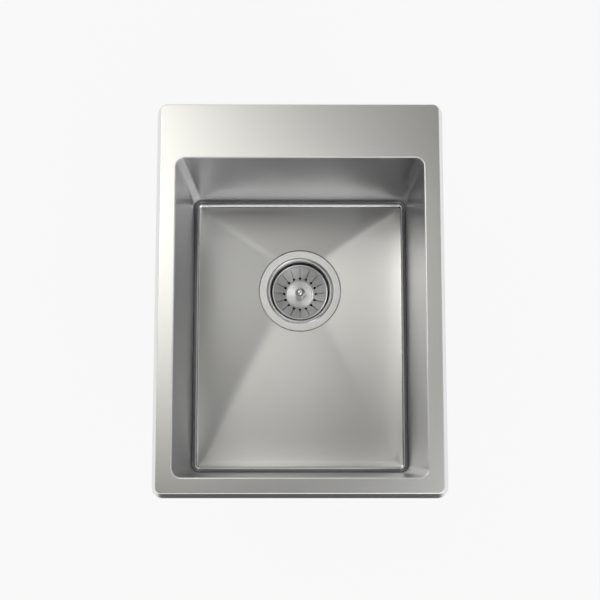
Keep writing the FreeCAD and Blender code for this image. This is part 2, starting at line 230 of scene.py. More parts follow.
@dataclass(frozen=True)
class Outline:
    """A rounded rectangle seen from above.

    Its rings all have the same number of points, so any two of them can be joined by quads.
    """

    width: float
    length: float
    corner: float
    centre_y: float = 0.0
    corner_steps: int = 14
    side_steps: int = 34
    hold: float = 0.5
    least_corner: float = 0.05

    def ring(self, out: float, level: float) -> list[Vector]:
        """One ring of points.

        Args:
            out: How far outside the rectangle the ring runs.
            level: The ring's height.

        Returns:
            The points, counter-clockwise from the right side's back end.
        """
        radius = max(self.corner + out, self.least_corner)
        x = self.width / 2 + out - radius
        y = self.length / 2 + out - radius
        quarter = [step / self.corner_steps for step in range(self.corner_steps + 1)]
        arcs = []
        for number, (cx, cy) in enumerate([(x, y), (-x, y), (-x, -y), (x, -y)]):
            turns = [FULL_TURN / 4 * (number + share) for share in quarter]
            arcs.append([Vector((cx + radius * math.cos(t), cy + radius * math.sin(t), 0)) for t in turns])
        points: list[Vector] = []
        for arc, following in zip(arcs, arcs[1:] + arcs[:1]):
            points += arc
            run = following[0] - arc[-1]
            near = self.hold / run.length
            shares = [near, *(step / self.side_steps for step in range(1, self.side_steps)), 1 - near]
            points += [arc[-1] + run * share for share in shares]
        return [point + Vector((0, self.centre_y, level)) for point in points]


class Draft:
    """The points and faces of one mesh, gathered in millimetres."""

    def __init__(self) -> None:
        """Start with nothing."""
        self.points: list[Vector] = []
        self.faces: list[tuple[int, ...]] = []

    def ring(self, points: Iterable[Vector]) -> list[int]:
        """Add points.

        Args:
            points: The points in order.

        Returns:
            Their numbers.
        """
        start = len(self.points)
        self.points.extend(points)
        return list(range(start, len(self.points)))

    def bridge(self, rings: Sequence[Sequence[int]], closed: bool) -> None:
        """Join closed rings of equal length in order by quads, or triangles at a pole.

        Args:
            rings: The numbers of each ring's points.
            closed: Whether the last ring joins the first.
        """
        for first, second in zip(rings, [*rings[1:], *(rings[:1] if closed else [])]):
            for here, after in zip(range(len(first)), [*range(1, len(first)), 0]):
                face = dict.fromkeys((first[here], first[after], second[after], second[here]))
                if len(face) > 2:
                    self.faces.append(tuple(face))

    def loft(self, rings: Sequence[Sequence[Vector]], closed: bool = False) -> "Draft":
        """Join rings of equal length in order.

        Args:
            rings: The points of each ring.
            closed: Whether the last ring joins the first. Otherwise both ends are closed flat.

        Returns:
            This draft.
        """
        numbers = [self.ring(ring) for ring in rings]
        self.bridge(numbers, closed)
        if not closed:
            self.faces += [tuple(numbers[0]), tuple(numbers[-1])]
        return self

    def turn(
        self, section: Sequence[Flat], axis: Flat = ORIGIN, closed: bool = True, steps: int = 144
    ) -> "Draft":
        """Turn a section round an upright axis.

        Args:
            section: Points of radius and height. A radius of zero makes a pole.
            axis: Place of the axis.
            closed: Whether the section is a closed loop away from the axis.
            steps: Straight pieces in a full turn.

        Returns:
            This draft.
        """
        spread = [(math.cos(FULL_TURN * s / steps), math.sin(FULL_TURN * s / steps)) for s in range(steps)]
        rings = []
        for radius, level in section:
            if radius > 0:
                ring = [Vector((axis[0] + radius * c, axis[1] + radius * s, level)) for c, s in spread]
                rings.append(self.ring(ring))
            else:
                rings.append(self.ring([Vector((*axis, level))]) * steps)
        self.bridge(rings, closed)
        return self

    def prism(self, outline: Sequence[Vector], along: Vector) -> "Draft":
        """Draw a closed outline along a straight way, with flat ends."""
        return self.loft([outline, [point + along for point in outline]])

    def piece(self, name: str, turn: Optional[Matrix] = None) -> Thing:
        """Make the mesh object.

        Args:
            name: The object's name.
            turn: A placement in metres for what was drawn in a frame of its own.

        Returns:
            The object, linked to the scene, with its faces outwards and smooth up to sharp edges.
        """
        work = bmesh.new()
        corners = [work.verts.new(point * MM) for point in self.points]
        for face in self.faces:
            work.faces.new([corners[number] for number in face])
        bmesh.ops.remove_doubles(work, verts=work.verts, dist=MM / 1000)
        bmesh.ops.recalc_face_normals(work, faces=work.faces)
        mesh = bpy.data.meshes.new(name)
        work.to_mesh(mesh)
        work.free()
        if turn is not None:
            mesh.transform(turn)
        made = bpy.data.objects.new(name, mesh)
        bpy.context.scene.collection.objects.link(made)
        smooth(mesh)
        return made


def turned(
    name: str,
    corners: Sequence[Corner],
    axis: Flat = ORIGIN,
    closed: bool = True,
    bends: int = 4,
    steps: int = 144,
    place: Optional[Matrix] = None,
) -> Thing:
    """A piece turned round an upright axis.

    Args:
        name: The piece's name.
        corners: Its section, with the radius of each corner.
        axis: Place of the axis.
        closed: Whether the section is a closed loop away from the axis.
        bends: Straight pieces in each rounded corner.
        steps: Straight pieces in a full turn.
        place: A placement in metres for a piece drawn in a frame of its own.

    Returns:
        The piece.
    """
    return Draft().turn(soften(corners, closed, bends), axis, closed, steps).piece(name, place)


def smooth(mesh: bpy.types.Mesh) -> None:
    """Shade a mesh smooth, apart from its sharp edges."""
    mesh.polygons.foreach_set("use_smooth", [True] * len(mesh.polygons))
    mesh.set_sharp_from_angle(angle=SHARP_ANGLE)


def plain_mesh(made: Thing) -> Thing:
    """Turn an object's live modifiers into a plain mesh.

    Args:
        made: The object.

    Returns:
        The same object.
    """
    graph = bpy.context.evaluated_depsgraph_get()
    mesh = bpy.data.meshes.new_from_object(made.evaluated_get(graph))
    made.modifiers.clear()
    made.data = mesh
    mesh.name = made.name
    smooth(mesh)
    return made


def bevelled(made: Thing, width: float) -> Thing:
    """Round an object's sharp edges.

    Args:
        made: The object.
        width: Width of the rounding in millimetres.

    Returns:
        The same object.
    """
    bevel = made.modifiers.new("edges", "BEVEL")
    bevel.width = width * MM
    bevel.segments = 2
    bevel.limit_method = "ANGLE"
    bevel.angle_limit = SHARP_ANGLE
    return plain_mesh(made)


class NodeBench:
    """Adds nodes to one tree, sets their sockets and links them."""

    def __init__(self, tree: bpy.types.NodeTree) -> None:
        """Work on a tree.

        Args:
            tree: The node tree to fill.
        """
        self.tree = tree

    def add(self, kind: str, settings: Optional[dict] = None, **sockets: object) -> bpy.types.Node:
        """Add a node.

        Args:
            kind: The node's type.
            settings: Its properties by name.
            sockets: Its inputs by name with underscores for spaces: a value, or a socket to link from.

        Returns:
            The new node.
        """
        node = self.tree.nodes.new(kind)
        for key, value in (settings or {}).items():
            setattr(node, key, value)
        for key, value in sockets.items():
            self.feed(node, key.replace("_", " "), value)
        return node

    def feed(self, node: bpy.types.Node, name: str, value: object) -> None:
        """Set or link the enabled input of a node that has a name."""
        self.put(next(s for s in node.inputs if s.name == name and s.enabled), value)

    def put(self, target: Socket, value: object) -> None:
        """Set an input or link it.

        Args:
            target: The input.
            value: A value, or a socket to link from.
        """
        if isinstance(value, Socket):
            self.tree.links.new(value, target)
        else:
            target.default_value = value

    def math(self, operation: str, *values: object) -> Socket:
        """Reckon with values or sockets.

        Args:
            operation: What the node does.
            values: What it works on, in the order of its inputs.

        Returns:
            The result.
        """
        node = self.add("ShaderNodeMath", {"operation": operation})
        for target, value in zip(node.inputs, values):
            self.put(target, value)
        return node.outputs[0]

    def noise(self, place: Socket, scale: float, detail: float) -> Socket:
        """Soft noise at a place."""
        return self.add("ShaderNodeTexNoise", Vector=place, Scale=scale, Detail=detail).outputs[0]

    def around(self, share: Socket, middle: float, spread: float) -> Socket:
        """A share from zero to one, carried to a spread on both sides of a middle value."""
        span = {"To_Min": middle - spread, "To_Max": middle + spread}
        return self.add("ShaderNodeMapRange", Value=share, **span).outputs[0]

    def mix(self, share: Socket, low: Colour, high: Colour) -> Socket:
        """Two colours mixed by a share from zero to one."""
        node = self.add("ShaderNodeMix", {"data_type": "RGBA"}, Factor=share, A=(*low, 1.0), B=(*high, 1.0))
        return next(s for s in node.outputs if s.enabled)

    def blend(self, share: Socket, first: Socket, second: Socket) -> Socket:
        """Mix two shaders.

        Args:
            share: How much of the second shows, from zero to one.
            first: The first shader.
            second: The second shader.

        Returns:
            The mixed shader.
        """
        node = self.add("ShaderNodeMixShader", Fac=share)
        self.put(node.inputs[1], first)
        self.put(node.inputs[2], second)
        return node.outputs[0]


class GeometryTree:
    """A Geometry Nodes tree with named inputs, and its use on one object."""

    def __init__(self, name: str, inputs: dict[str, str]) -> None:
        """Make the tree's interface.

        Args:
            name: The tree's name.
            inputs: Kinds of socket by input name, after the geometry itself.
        """
        self.tree = bpy.data.node_groups.new(name, "GeometryNodeTree")
        face = self.tree.interface
        face.new_socket("Geometry", in_out="INPUT", socket_type="NodeSocketGeometry")
        self.keys = {}
        for key, kind in inputs.items():
            made = face.new_socket(key, in_out="INPUT", socket_type=f"NodeSocket{kind}")
            self.keys[key] = made.identifier
        face.new_socket("Geometry", in_out="OUTPUT", socket_type="NodeSocketGeometry")
        self.bench = NodeBench(self.tree)
        self.given = self.bench.add("NodeGroupInput").outputs

    def end(self, geometry: Socket) -> None:
        """Close the tree with real geometry."""
        real = self.bench.add("GeometryNodeRealizeInstances", Geometry=geometry)
        self.bench.add("NodeGroupOutput", Geometry=real.outputs[0])

    def apply(self, made: Thing, **values: object) -> Thing:
        """Run the tree on an object and keep the result as its plain mesh.

        Args:
            made: The object.
            values: Inputs by name with underscores for spaces.

        Returns:
            The same object.
        """
        modifier = made.modifiers.new(self.tree.name, "NODES")
        modifier.node_group = self.tree
        for key, value in values.items():
            modifier[self.keys[key.replace("_", " ")]] = value
        return plain_mesh(made)


class Carve(Enum):
    """What a ring of tools does to the mesh that it meets."""

    CUT = "DIFFERENCE"
    JOIN = "UNION"


class RingOfTools(GeometryTree):
    """Copies of a tool spread round an upright axis, cut from a mesh or joined to it."""

    def __init__(self, carve: Carve) -> None:
        """Build the tree.

        Args:
            carve: What the tools do.
        """
        inputs = {"Tool": "Object", "Count": "Int", "Axis": "Vector"}
        super().__init__(f"ring_of_tools_{carve.name.lower()}", inputs)
        add, given = self.bench.add, self.given
        points = add("GeometryNodePoints", Count=given["Count"], Position=given["Axis"])
        step = self.bench.math("DIVIDE", FULL_TURN, given["Count"])
        angle = self.bench.math("MULTIPLY", add("GeometryNodeInputIndex").outputs[0], step)
        euler = add("ShaderNodeCombineXYZ", Z=angle)
        turn = add("FunctionNodeEulerToRotation", Euler=euler.outputs[0])
        tool = add("GeometryNodeObjectInfo", Object=given["Tool"])
        copies = add(
            "GeometryNodeInstanceOnPoints",
            Points=points.outputs[0],
            Instance=tool.outputs["Geometry"],
            Rotation=turn.outputs[0],
        )
        tools = add("GeometryNodeRealizeInstances", Geometry=copies.outputs[0])
        carved = add("GeometryNodeMeshBoolean", {"operation": carve.value, "solver": "EXACT"})
        both = [s for s in carved.inputs if s.enabled and s.type == "GEOMETRY"]
        self.bench.put(both[0], given["Geometry"])
        self.bench.put(both[-1], tools.outputs[0])
        self.end(carved.outputs[0])

    def carve(self, made: Thing, tool: Draft, count: int = 1, axis: Flat = ORIGIN) -> Thing:
        """Cut the tools from a mesh, or join them to it.

        Args:
            made: The mesh to change.
            tool: The tool, drawn round the origin.
            count: How many copies stand round the axis.
            axis: Place of the axis.

        Returns:
            The changed mesh.
        """
        shape = tool.piece(f"{made.name}_tool")
        self.apply(made, Tool=shape, Count=count, Axis=(axis[0] * MM, axis[1] * MM, 0.0))
        spent = shape.data
        bpy.data.objects.remove(shape)
        bpy.data.meshes.remove(spent)
        return made


class ScrewThread(GeometryTree):
    """A ridge wound on a rod, added to the mesh that has the rod."""

    def __init__(self) -> None:
        """Build the tree."""
        inputs = dict.fromkeys(("Root Radius", "Depth", "Pitch", "Length"), "Float")
        super().__init__("screw_thread", {**inputs, "Start": "Vector", "Steps": "Int"})
        add, given = self.bench.add, self.given
        coil = add(
            "GeometryNodeCurveSpiral",
            Resolution=given["Steps"],
            Rotations=self.bench.math("DIVIDE", given["Length"], given["Pitch"]),
            Start_Radius=given["Root Radius"],
            End_Radius=given["Root Radius"],
            Height=given["Length"],
        )
        circle = "GeometryNodeCurvePrimitiveCircle"
        ridge = add(circle, {"mode": "RADIUS"}, Resolution=4, Radius=given["Depth"])
        ways = {"Curve": coil.outputs[0], "Profile_Curve": ridge.outputs[0]}
        wound = add("GeometryNodeCurveToMesh", **ways, Fill_Caps=True)
        placed = add("GeometryNodeTransform", Geometry=wound.outputs[0], Translation=given["Start"])
        both = add("GeometryNodeJoinGeometry")
        self.bench.put(both.inputs[0], given["Geometry"])
        self.bench.put(both.inputs[0], placed.outputs[0])
        self.end(both.outputs[0])

    def wind(self, made: Thing, sizes: Sequence[float], low: float, axis_y: float, steps: int) -> Thing:
        """Wind a thread on a rod.

        Args:
            made: The mesh that has the rod.
            sizes: The rod's radius, and the thread's depth, pitch and length.
            low: Height of the thread's lower end.
            axis_y: Where the rod stands.
            steps: Straight pieces in a turn.

        Returns:
            The same mesh.
        """
        keys = ("Root_Radius", "Depth", "Pitch", "Length")
        lengths = {key: size * MM for key, size in zip(keys, sizes)}
        return self.apply(made, **lengths, Start=(0.0, axis_y * MM, low * MM), Steps=steps)


class Grain(Enum):
    """How the fine marks of a finish run, as the scale of their noise along X, Y and Z."""

    SIDEWAYS = (30.0, 1500.0, 1500.0)
    EVEN = (500.0, 500.0, 500.0)


@dataclass(frozen=True)
class Finish:
    """What the finishes share: a slot, a colour, and the ends of their node materials."""

    slot: str
    colour: Colour

    def start(self) -> tuple[bpy.types.Material, NodeBench, Socket]:
        """Begin a node material.

        Returns:
            The material, its bench and the place on the piece.
        """
        made = bpy.data.materials.new(self.slot)
        made.use_nodes = True
        bench = NodeBench(made.node_tree)
        return made, bench, bench.add("ShaderNodeTexCoord").outputs["Object"]

    @staticmethod
    def surface(bench: NodeBench, marks: Socket, bump: float, depth: float, **inputs: object) -> None:
        """Feed the material's shader.

        Args:
            bench: The material's bench.
            marks: Fine marks that stand out of the surface.
            bump: How strongly they stand out.
            depth: How far they stand out, in millimetres.
            inputs: The shader's other inputs by name with underscores for spaces.
        """
        shader = bench.tree.nodes["Principled BSDF"]
        raised = bench.add("ShaderNodeBump", Strength=bump, Distance=depth * MM, Height=marks).outputs[0]
        for key, value in {"Normal": raised, **inputs}.items():
            bench.feed(shader, key.replace("_", " "), value)


@dataclass(frozen=True)
class SteelFinish(Finish):
    """Satin steel: fine grain, soft clouds, a painted cooler reflection tint on upright faces and a polish
    on bends.
    """

    # Painted reflection: upright faces take this cooler colour in place of the cool surroundings that they
    # would reflect.
    painted_upright_reflection_tint: Colour
    roughness: float
    grain: Grain = Grain.SIDEWAYS
    bend_polish: float = 1.0
    bend_middle: float = 0.5
    bend_band: Flat = (0.02, 0.12)
    grain_share: float = 0.012
    grain_bump: float = 0.0002
    grain_depth: float = 0.25
    cloud_share: float = 0.03
    cloud_scale: float = 9.0

    def material(self) -> bpy.types.Material:
        """Build the node material.

        Returns:
            The material.
        """
        made, bench, place = self.start()
        stretched = bench.add("ShaderNodeMapping", Vector=place, Scale=self.grain.value)
        grain = bench.noise(stretched.outputs[0], 1.0, 3.0)
        cloud = bench.noise(place, self.cloud_scale, 2.0)
        normal = bench.add("ShaderNodeNewGeometry").outputs["Normal"]
        flat = bench.math("ABSOLUTE", bench.add("ShaderNodeSeparateXYZ", Vector=normal).outputs["Z"])
        # Painted reflection tint: the more upright a face, the more it takes the cooler upright colour,
        # standing in for reflected cool surroundings; the clouds below are random tone.
        painted_reflection_tint = bench.mix(flat, self.painted_upright_reflection_tint, self.colour)
        shade = bench.around(cloud, 1.0, self.cloud_share)
        clouded_painted_tint = bench.add("ShaderNodeVectorMath", {"operation": "SCALE"}, Vector=painted_reflection_tint, Scale=shade)
        polish = bench.add(
            "ShaderNodeMapRange",
            Value=bench.math("PINGPONG", flat, self.bend_middle),
            From_Min=self.bend_band[0],
            From_Max=self.bend_band[1],
            To_Min=1.0,
            To_Max=self.bend_polish,
        )
        rough = bench.around(grain, self.roughness, self.grain_share)
        self.surface(
            bench,
            grain,
            self.grain_bump,
            self.grain_depth,
            Base_Color=clouded_painted_tint.outputs[0],
            Roughness=bench.math("MULTIPLY", rough, polish.outputs[0]),
            Metallic=1.0,
        )
        return made


@dataclass(frozen=True)
class TurnedFinish(Finish):
    """Steel finished on a lathe: fine rings round the waste's axis."""

    roughness: float
    axis_y: float
    ring_scale: float = 900.0
    ring_share: float = 0.05
    ring_bump: float = 0.01
    ring_depth: float = 0.25
    cloud_scale: float = 40.0
    dulling: float = 0.94
    anisotropy: float = 0.0

    def material(self) -> bpy.types.Material:
        """Build the node material.

        Returns:
            The material.
        """
        made, bench, place = self.start()
        centre = (0.0, -self.axis_y * MM, 0.0)
        centred = bench.add("ShaderNodeMapping", Vector=place, Location=centre).outputs[0]
        parts = bench.add("ShaderNodeSeparateXYZ", Vector=centred)
        flat = bench.add("ShaderNodeCombineXYZ", X=parts.outputs["X"], Y=parts.outputs["Y"]).outputs[0]
        length = bench.add("ShaderNodeVectorMath", {"operation": "LENGTH"}, Vector=flat)
        along = bench.add("ShaderNodeCombineXYZ", X=length.outputs["Value"], Y=parts.outputs["Z"]).outputs[0]
        rings = bench.noise(along, self.ring_scale, 2.0)
        cloud = bench.noise(place, self.cloud_scale, 2.0)
        dull = tuple(channel * self.dulling for channel in self.colour)
        self.surface(
            bench,
            rings,
            self.ring_bump,
            self.ring_depth,
            Base_Color=bench.mix(cloud, dull, self.colour),
            Roughness=bench.around(rings, self.roughness, self.ring_share),
            Anisotropic=self.anisotropy,
            Tangent=flat,
            Metallic=1.0,
        )
        return made


@dataclass(frozen=True)
class MouldedFinish(Finish):
    """Rubber, foam, bitumen, plastic or plating: mottled colour over a fine rough skin."""

    mottle: Colour
    roughness: float
    roughness_spread: float
    pore_scale: float
    pore_bump: float
    metallic: float = 0.0
    pore_depth: float = 0.5
    cloud_scale: float = 35.0

    def material(self) -> bpy.types.Material:
        """Build the node material.

        Returns:
            The material.
        """
        made, bench, place = self.start()
        pores = bench.noise(place, self.pore_scale, 4.0)
        self.surface(
            bench,
            pores,
            self.pore_bump,
            self.pore_depth,
            Base_Color=bench.mix(bench.noise(place, self.cloud_scale, 3.0), self.colour, self.mottle),
            Roughness=bench.around(pores, self.roughness, self.roughness_spread),
            Metallic=self.metallic,
        )
        return made


class Finishes:
    """The sink's finishes by material slot."""

    def __init__(self, axis_y: float) -> None:
        """Build every material.

        Args:
            axis_y: Where the waste's axis stands, for the turned finishes.
        """
        recipes = [
            # Each steel's second colour is a painted cooler reflection tint for its upright faces.
            SteelFinish("deck_steel", (0.78, 0.776, 0.742), (0.8, 0.805, 0.84), 0.32),
            SteelFinish("bowl_steel", (0.60, 0.597, 0.57), (0.575, 0.578, 0.605), 0.315, bend_polish=0.5),
            TurnedFinish("waste_steel", (0.54, 0.538, 0.519), 0.26, axis_y),
            TurnedFinish("basket_steel", (0.86, 0.86, 0.85), 0.34, axis_y, anisotropy=0.9),
            TurnedFinish("knob_steel", (0.84, 0.84, 0.83), 0.22, axis_y),
            SteelFinish("fastener_steel", (0.56, 0.56, 0.55), (0.55, 0.55, 0.56), 0.3, Grain.EVEN),
            SteelFinish("rail_steel", (0.5, 0.5, 0.49), (0.5, 0.5, 0.5), 0.36, Grain.EVEN),
            MouldedFinish("clip_zinc", (0.52, 0.54, 0.57), (0.6, 0.6, 0.6), 0.38, 0.08, 260.0, 0.08, 1.0),
            MouldedFinish("insert_brass", (0.6, 0.42, 0.16), (0.68, 0.5, 0.22), 0.3, 0.06, 300.0, 0.05, 1.0),
            MouldedFinish("seal_rubber", (0.022, 0.022, 0.023), (0.035, 0.035, 0.036), 0.6, 0.1, 900.0, 0.1),
            MouldedFinish("seal_foam", (0.045, 0.045, 0.047), (0.07, 0.07, 0.072), 0.85, 0.08, 1400.0, 0.5),
            MouldedFinish("pad_bitumen", (0.03, 0.03, 0.031), (0.05, 0.05, 0.05), 0.72, 0.12, 420.0, 0.4),
            MouldedFinish(
                "waste_plastic", (0.02, 0.02, 0.022), (0.032, 0.032, 0.034), 0.42, 0.08, 700.0, 0.12
            ),
        ]
        self.materials = {recipe.slot: recipe.material() for recipe in recipes}

    def dress(self, made: Thing, slot: str, body: str, *nodes: str) -> Thing:
        """Give a piece its finish and its place among the bodies.

        Args:
            made: The piece.
            slot: The record's material slot.
            body: The body that the piece moves with.
            nodes: The CAD nodes that it stands for.

        Returns:
            The same piece.
        """
        made.data.materials.clear()
        made.data.materials.append(self.materials[slot])
        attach(made, body)
        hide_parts(*nodes)
        LOG.info("%s: %d faces on %s for %s", made.name, len(made.data.polygons), body, ", ".join(nodes))
        return made


@dataclass
class Basin:
    """The deck, the bowl, the seal under the rim and the sound pads."""

    finishes: Finishes
    axis_y: float
    sheet: float = 1.2
    deck_corner: float = 7.5
    skirt_run: float = 6.5
    edge_radius: float = 1.5
    fold_radius: float = 1.7
    return_width: float = 9.0
    lip_radius: float = 1.4
    bowl_corner: float = 10.5
    bowl_depth: float = 250.0
    floor_radius: float = 10.0
    floor_border: float = 2.0
    floor_lift: float = 3.0
    floor_fall: float = 12.0
    floor_ease: float = 18.0
    border_steepness: float = 2.0
    border_rise: float = 2.4
    crease_set_back: float = 20.0
    crease_softness: float = 30.0
    recess_gap: float = 0.6
    recess_depth: float = 2.1
    recess_hold: float = 0.5
    recess_edge: float = 0.1
    recess_wall: float = 0.8
    recess_bend: float = 0.2
    waste_hole: float = 48.4
    hole_hold: float = 0.4
    seal_band: float = 6.0
    pad_corner: float = 8.0
    pad_edge: float = 0.9
    pad_shares: Sequence[float] = (0.55, 0.75, 0.95, 0.999)
    floor_pad_thickness: float = 3.0
    floor_pad_steps: int = 16
    flat_hold: float = 0.6

    def __post_init__(self) -> None:
        """Take the outlines and levels from the frame."""
        low, high = box_mm("deck")
        self.top = high.z
        self.foot = low.z
        lean = 2 * self.skirt_run
        self.rim = Outline(high.x - low.x - lean, high.y - low.y - lean, self.deck_corner)
        low, high = box_mm("bowl")
        self.lip_foot = high.z
        walls = 2 * self.sheet
        middle = (low.y + high.y) / 2
        self.mouth = Outline(high.x - low.x - walls, high.y - low.y - walls, self.bowl_corner, middle)
        low, high = box_mm("waste_flange")
        self.flange_top = high.z
        self.recess_radius = high.x + self.recess_gap
        self.floor = self.top - self.bowl_depth + self.floor_lift
        self.apex_y = self.axis_y + self.crease_set_back
        inset = self.floor_radius + self.floor_border
        self.half_x = self.mouth.width / 2 - inset
        self.back_run = self.mouth.centre_y + self.mouth.length / 2 - inset - self.apex_y
        self.front_run = self.apex_y - self.mouth.centre_y + self.mouth.length / 2 - inset

    def build(self) -> None:
        """Make and dress every piece."""
        dress = self.finishes.dress
        dress(self.deck(), "deck_steel", "sink", "deck")
        dress(self.bowl(), "bowl_steel", "sink", "bowl")
        dress(self.rim_seal(), "seal_foam", "sink", "rim_seal")
        for side in Side:
            node = f"{side.name.lower()}_pad"
            dress(self.wall_pad(side, node), "pad_bitumen", "sink", node)
        dress(self.floor_pad(), "pad_bitumen", "sink", "floor_pad")

    def deck(self) -> Thing:
        """Make the top sheet with its skirt, return flange and lip.

        Returns:
            The piece.
        """
        rim_corners = [
            Corner(self.skirt_run - self.return_width, self.foot),
            Corner(self.skirt_run, self.foot, self.fold_radius),
            Corner(0.0, self.top, self.edge_radius),
            Corner(-3 * self.edge_radius, self.top),
        ]
        lip_corners = [
            Corner(3 * self.lip_radius, self.top),
            Corner(0.0, self.top, self.lip_radius),
            Corner(0.0, self.lip_foot),
        ]
        rim_path = soften(rim_corners, hold=self.flat_hold)
        lip_path = soften(lip_corners, hold=self.flat_hold)
        outer = [self.rim.ring(*spot) for spot in rim_path] + [self.mouth.ring(*spot) for spot in lip_path]
        inner = [self.rim.ring(*spot) for spot in beside(rim_path, self.sheet)]
        inner += [self.mouth.ring(*spot) for spot in beside(lip_path, self.sheet)]
        return Draft().loft(outer + inner[::-1], closed=True).piece("deck_sheet")

    def floor_level(self, x: float, y: float) -> float:
        """Height of the bowl's floor, whose four soft creases run to a point behind the waste.

        Args:
            x: Place to the right of the waste's axis.
            y: Place towards the back.

        Returns:
            The height of the upper skin.
        """
        runs = (self.half_x, self.back_run, self.front_run)
        shares = [out / run for out, run in zip((abs(x), y - self.apex_y, self.apex_y - y), runs)]
        most = max(shares)
        weights = [math.exp(self.crease_softness * (share - most)) for share in shares]
        share = 1 - min(most + math.log(sum(weights)) / self.crease_softness, 1.0)
        ease = sum(weight * self.floor_ease / run for weight, run in zip(weights, runs)) / sum(weights)
        extra = self.border_steepness * ease
        drop = share + extra * (1 - math.exp(-share / ease))
        return self.floor - self.floor_fall * drop / (1 + extra)

    def well(self, wall: float, steps: int = 44) -> list[list[Vector]]:
        """Rings from the floor's border to the edge of the waste hole.

        Args:
            wall: Thickness below the floor, zero for the upper skin.
            steps: Rings on the creased floor.

        Returns:
            The rings, from the border inwards.
        """
        axis = Vector((0, self.axis_y, 0))
        border = self.mouth.ring(-self.floor_radius - self.floor_border, 0.0)
        ways = [(point - axis).normalized() for point in border]
        edge = self.recess_radius + wall
        seat = self.flange_top - self.recess_depth - wall

        def on_floor(spot: Vector) -> Vector:
            """The point of this skin above or below a spot."""
            return Vector((spot.x, spot.y, self.floor_level(spot.x, spot.y) - wall))

        rings = []
        for share in (step / steps for step in range(1, steps + 1)):
            ends = [axis + way * (edge + self.recess_hold) for way in ways]
            rings.append([on_floor(point.lerp(end, share)) for point, end in zip(border, ends)])
        rings.append([on_floor(axis + way * (edge + self.recess_edge)) for way in ways])
        for radius, level in (
            (edge, seat + self.recess_wall),
            (edge, seat + self.recess_bend),
            (edge - self.recess_bend, seat),
            (self.waste_hole + self.hole_hold, seat),
            (self.waste_hole, seat),
        ):
            spots = [axis + way * radius for way in ways]
            rings.append([Vector((spot.x, spot.y, level)) for spot in spots])
        return rings

    def bowl(self) -> Thing:
        """Make the pressed bowl with its creased floor and the sunk seat of the waste.

        Returns:
            The piece.
        """
        corners = [
            Corner(0.0, self.lip_foot),
            Corner(0.0, self.floor + self.border_rise, self.floor_radius),
            Corner(-self.floor_radius - self.floor_border, self.floor),
        ]
        path = soften(corners, steps=16, hold=self.flat_hold)
        inside = [self.mouth.ring(*spot) for spot in path] + self.well(0.0)
        outside = [self.mouth.ring(*spot) for spot in beside(path, self.sheet)] + self.well(self.sheet)
        return Draft().loft(inside + outside[::-1], closed=True).piece("bowl_pressing")

    def rim_seal(self) -> Thing:
        """Make the foam loop under the return flange, with round edges.

        Returns:
            The piece.
        """
        low, high = box_mm("rim_seal")
        out = high.x - self.rim.width / 2
        edge = (high.z - low.z) / 3
        inner = out - self.seal_band
        corners = [(inner, low.z), (out, low.z), (out, high.z), (inner, high.z)]
        section = soften([Corner(*spot, edge) for spot in corners], closed=True, steps=4)
        return Draft().loft([self.rim.ring(*spot) for spot in section], closed=True).piece("rim_foam_seal")

    def pad_edge_rings(self, outline: Outline, thickness: float) -> list[list[Vector]]:
        """Rings of a flat pad's round upper edge.

        Args:
            outline: The pad seen from its outer face.
            thickness: The pad's thickness.

        Returns:
            The rings, lying at heights from zero to the thickness.
        """
        corners = [
            Corner(0.0, 0.0),
            Corner(0.0, thickness, self.pad_edge),
            Corner(-outline.width / 4, thickness),
        ]
        return [outline.ring(*spot) for spot in soften(corners, steps=5, hold=self.flat_hold)]

    def wall_pad(self, side: Side, node: str) -> Thing:
        """Make a sound pad glued on the outside of one wall.

        Args:
            side: The wall's side.
            node: The CAD node that gives the pad's place and size.

        Returns:
            The piece.
        """
        low, high = box_mm(node)
        size = high - low
        thickness = min(size.x, size.y)
        outline = Outline(size.z, max(size.x, size.y), self.pad_corner, side_steps=12, corner_steps=8)
        half = min(outline.width, outline.length) / 2
        inwards = [outline.ring(-half * share, thickness) for share in self.pad_shares]
        outwards = Matrix.Rotation(math.radians(side.value), 4, "Z").to_3x3() @ Vector((thickness / 2, 0, 0))
        place = side.matrix((low + high) / 2 - outwards) @ Matrix.Rotation(FULL_TURN / 4, 4, "Y")
        rings = self.pad_edge_rings(outline, thickness) + inwards
        return Draft().loft(rings).piece(f"{side.name.lower()}_sound_pad", place)

    def floor_pad(self) -> Thing:
        """Make the sound pad under the floor, bent along the creases.

        Returns:
            The piece.
        """
        low, high = box_mm("floor_pad")
        middle = (low + high) / 2
        outline = Outline(high.x - low.x, high.y - low.y, self.pad_corner, middle.y, corner_steps=8)
        thickness, steps = self.floor_pad_thickness, self.floor_pad_steps
        reach = -min(outline.width, outline.length) / 2 * self.pad_shares[-1]
        glued = [outline.ring(reach * (1 - step / steps), 0.0) for step in range(steps)]
        inwards = [outline.ring(reach * step / steps, thickness) for step in range(1, steps + 1)]
        draft = Draft().loft(glued + self.pad_edge_rings(outline, thickness) + inwards)
        for point in draft.points:
            point.z = self.floor_level(point.x, point.y) - self.sheet - point.z
        return draft.piece("floor_sound_pad")


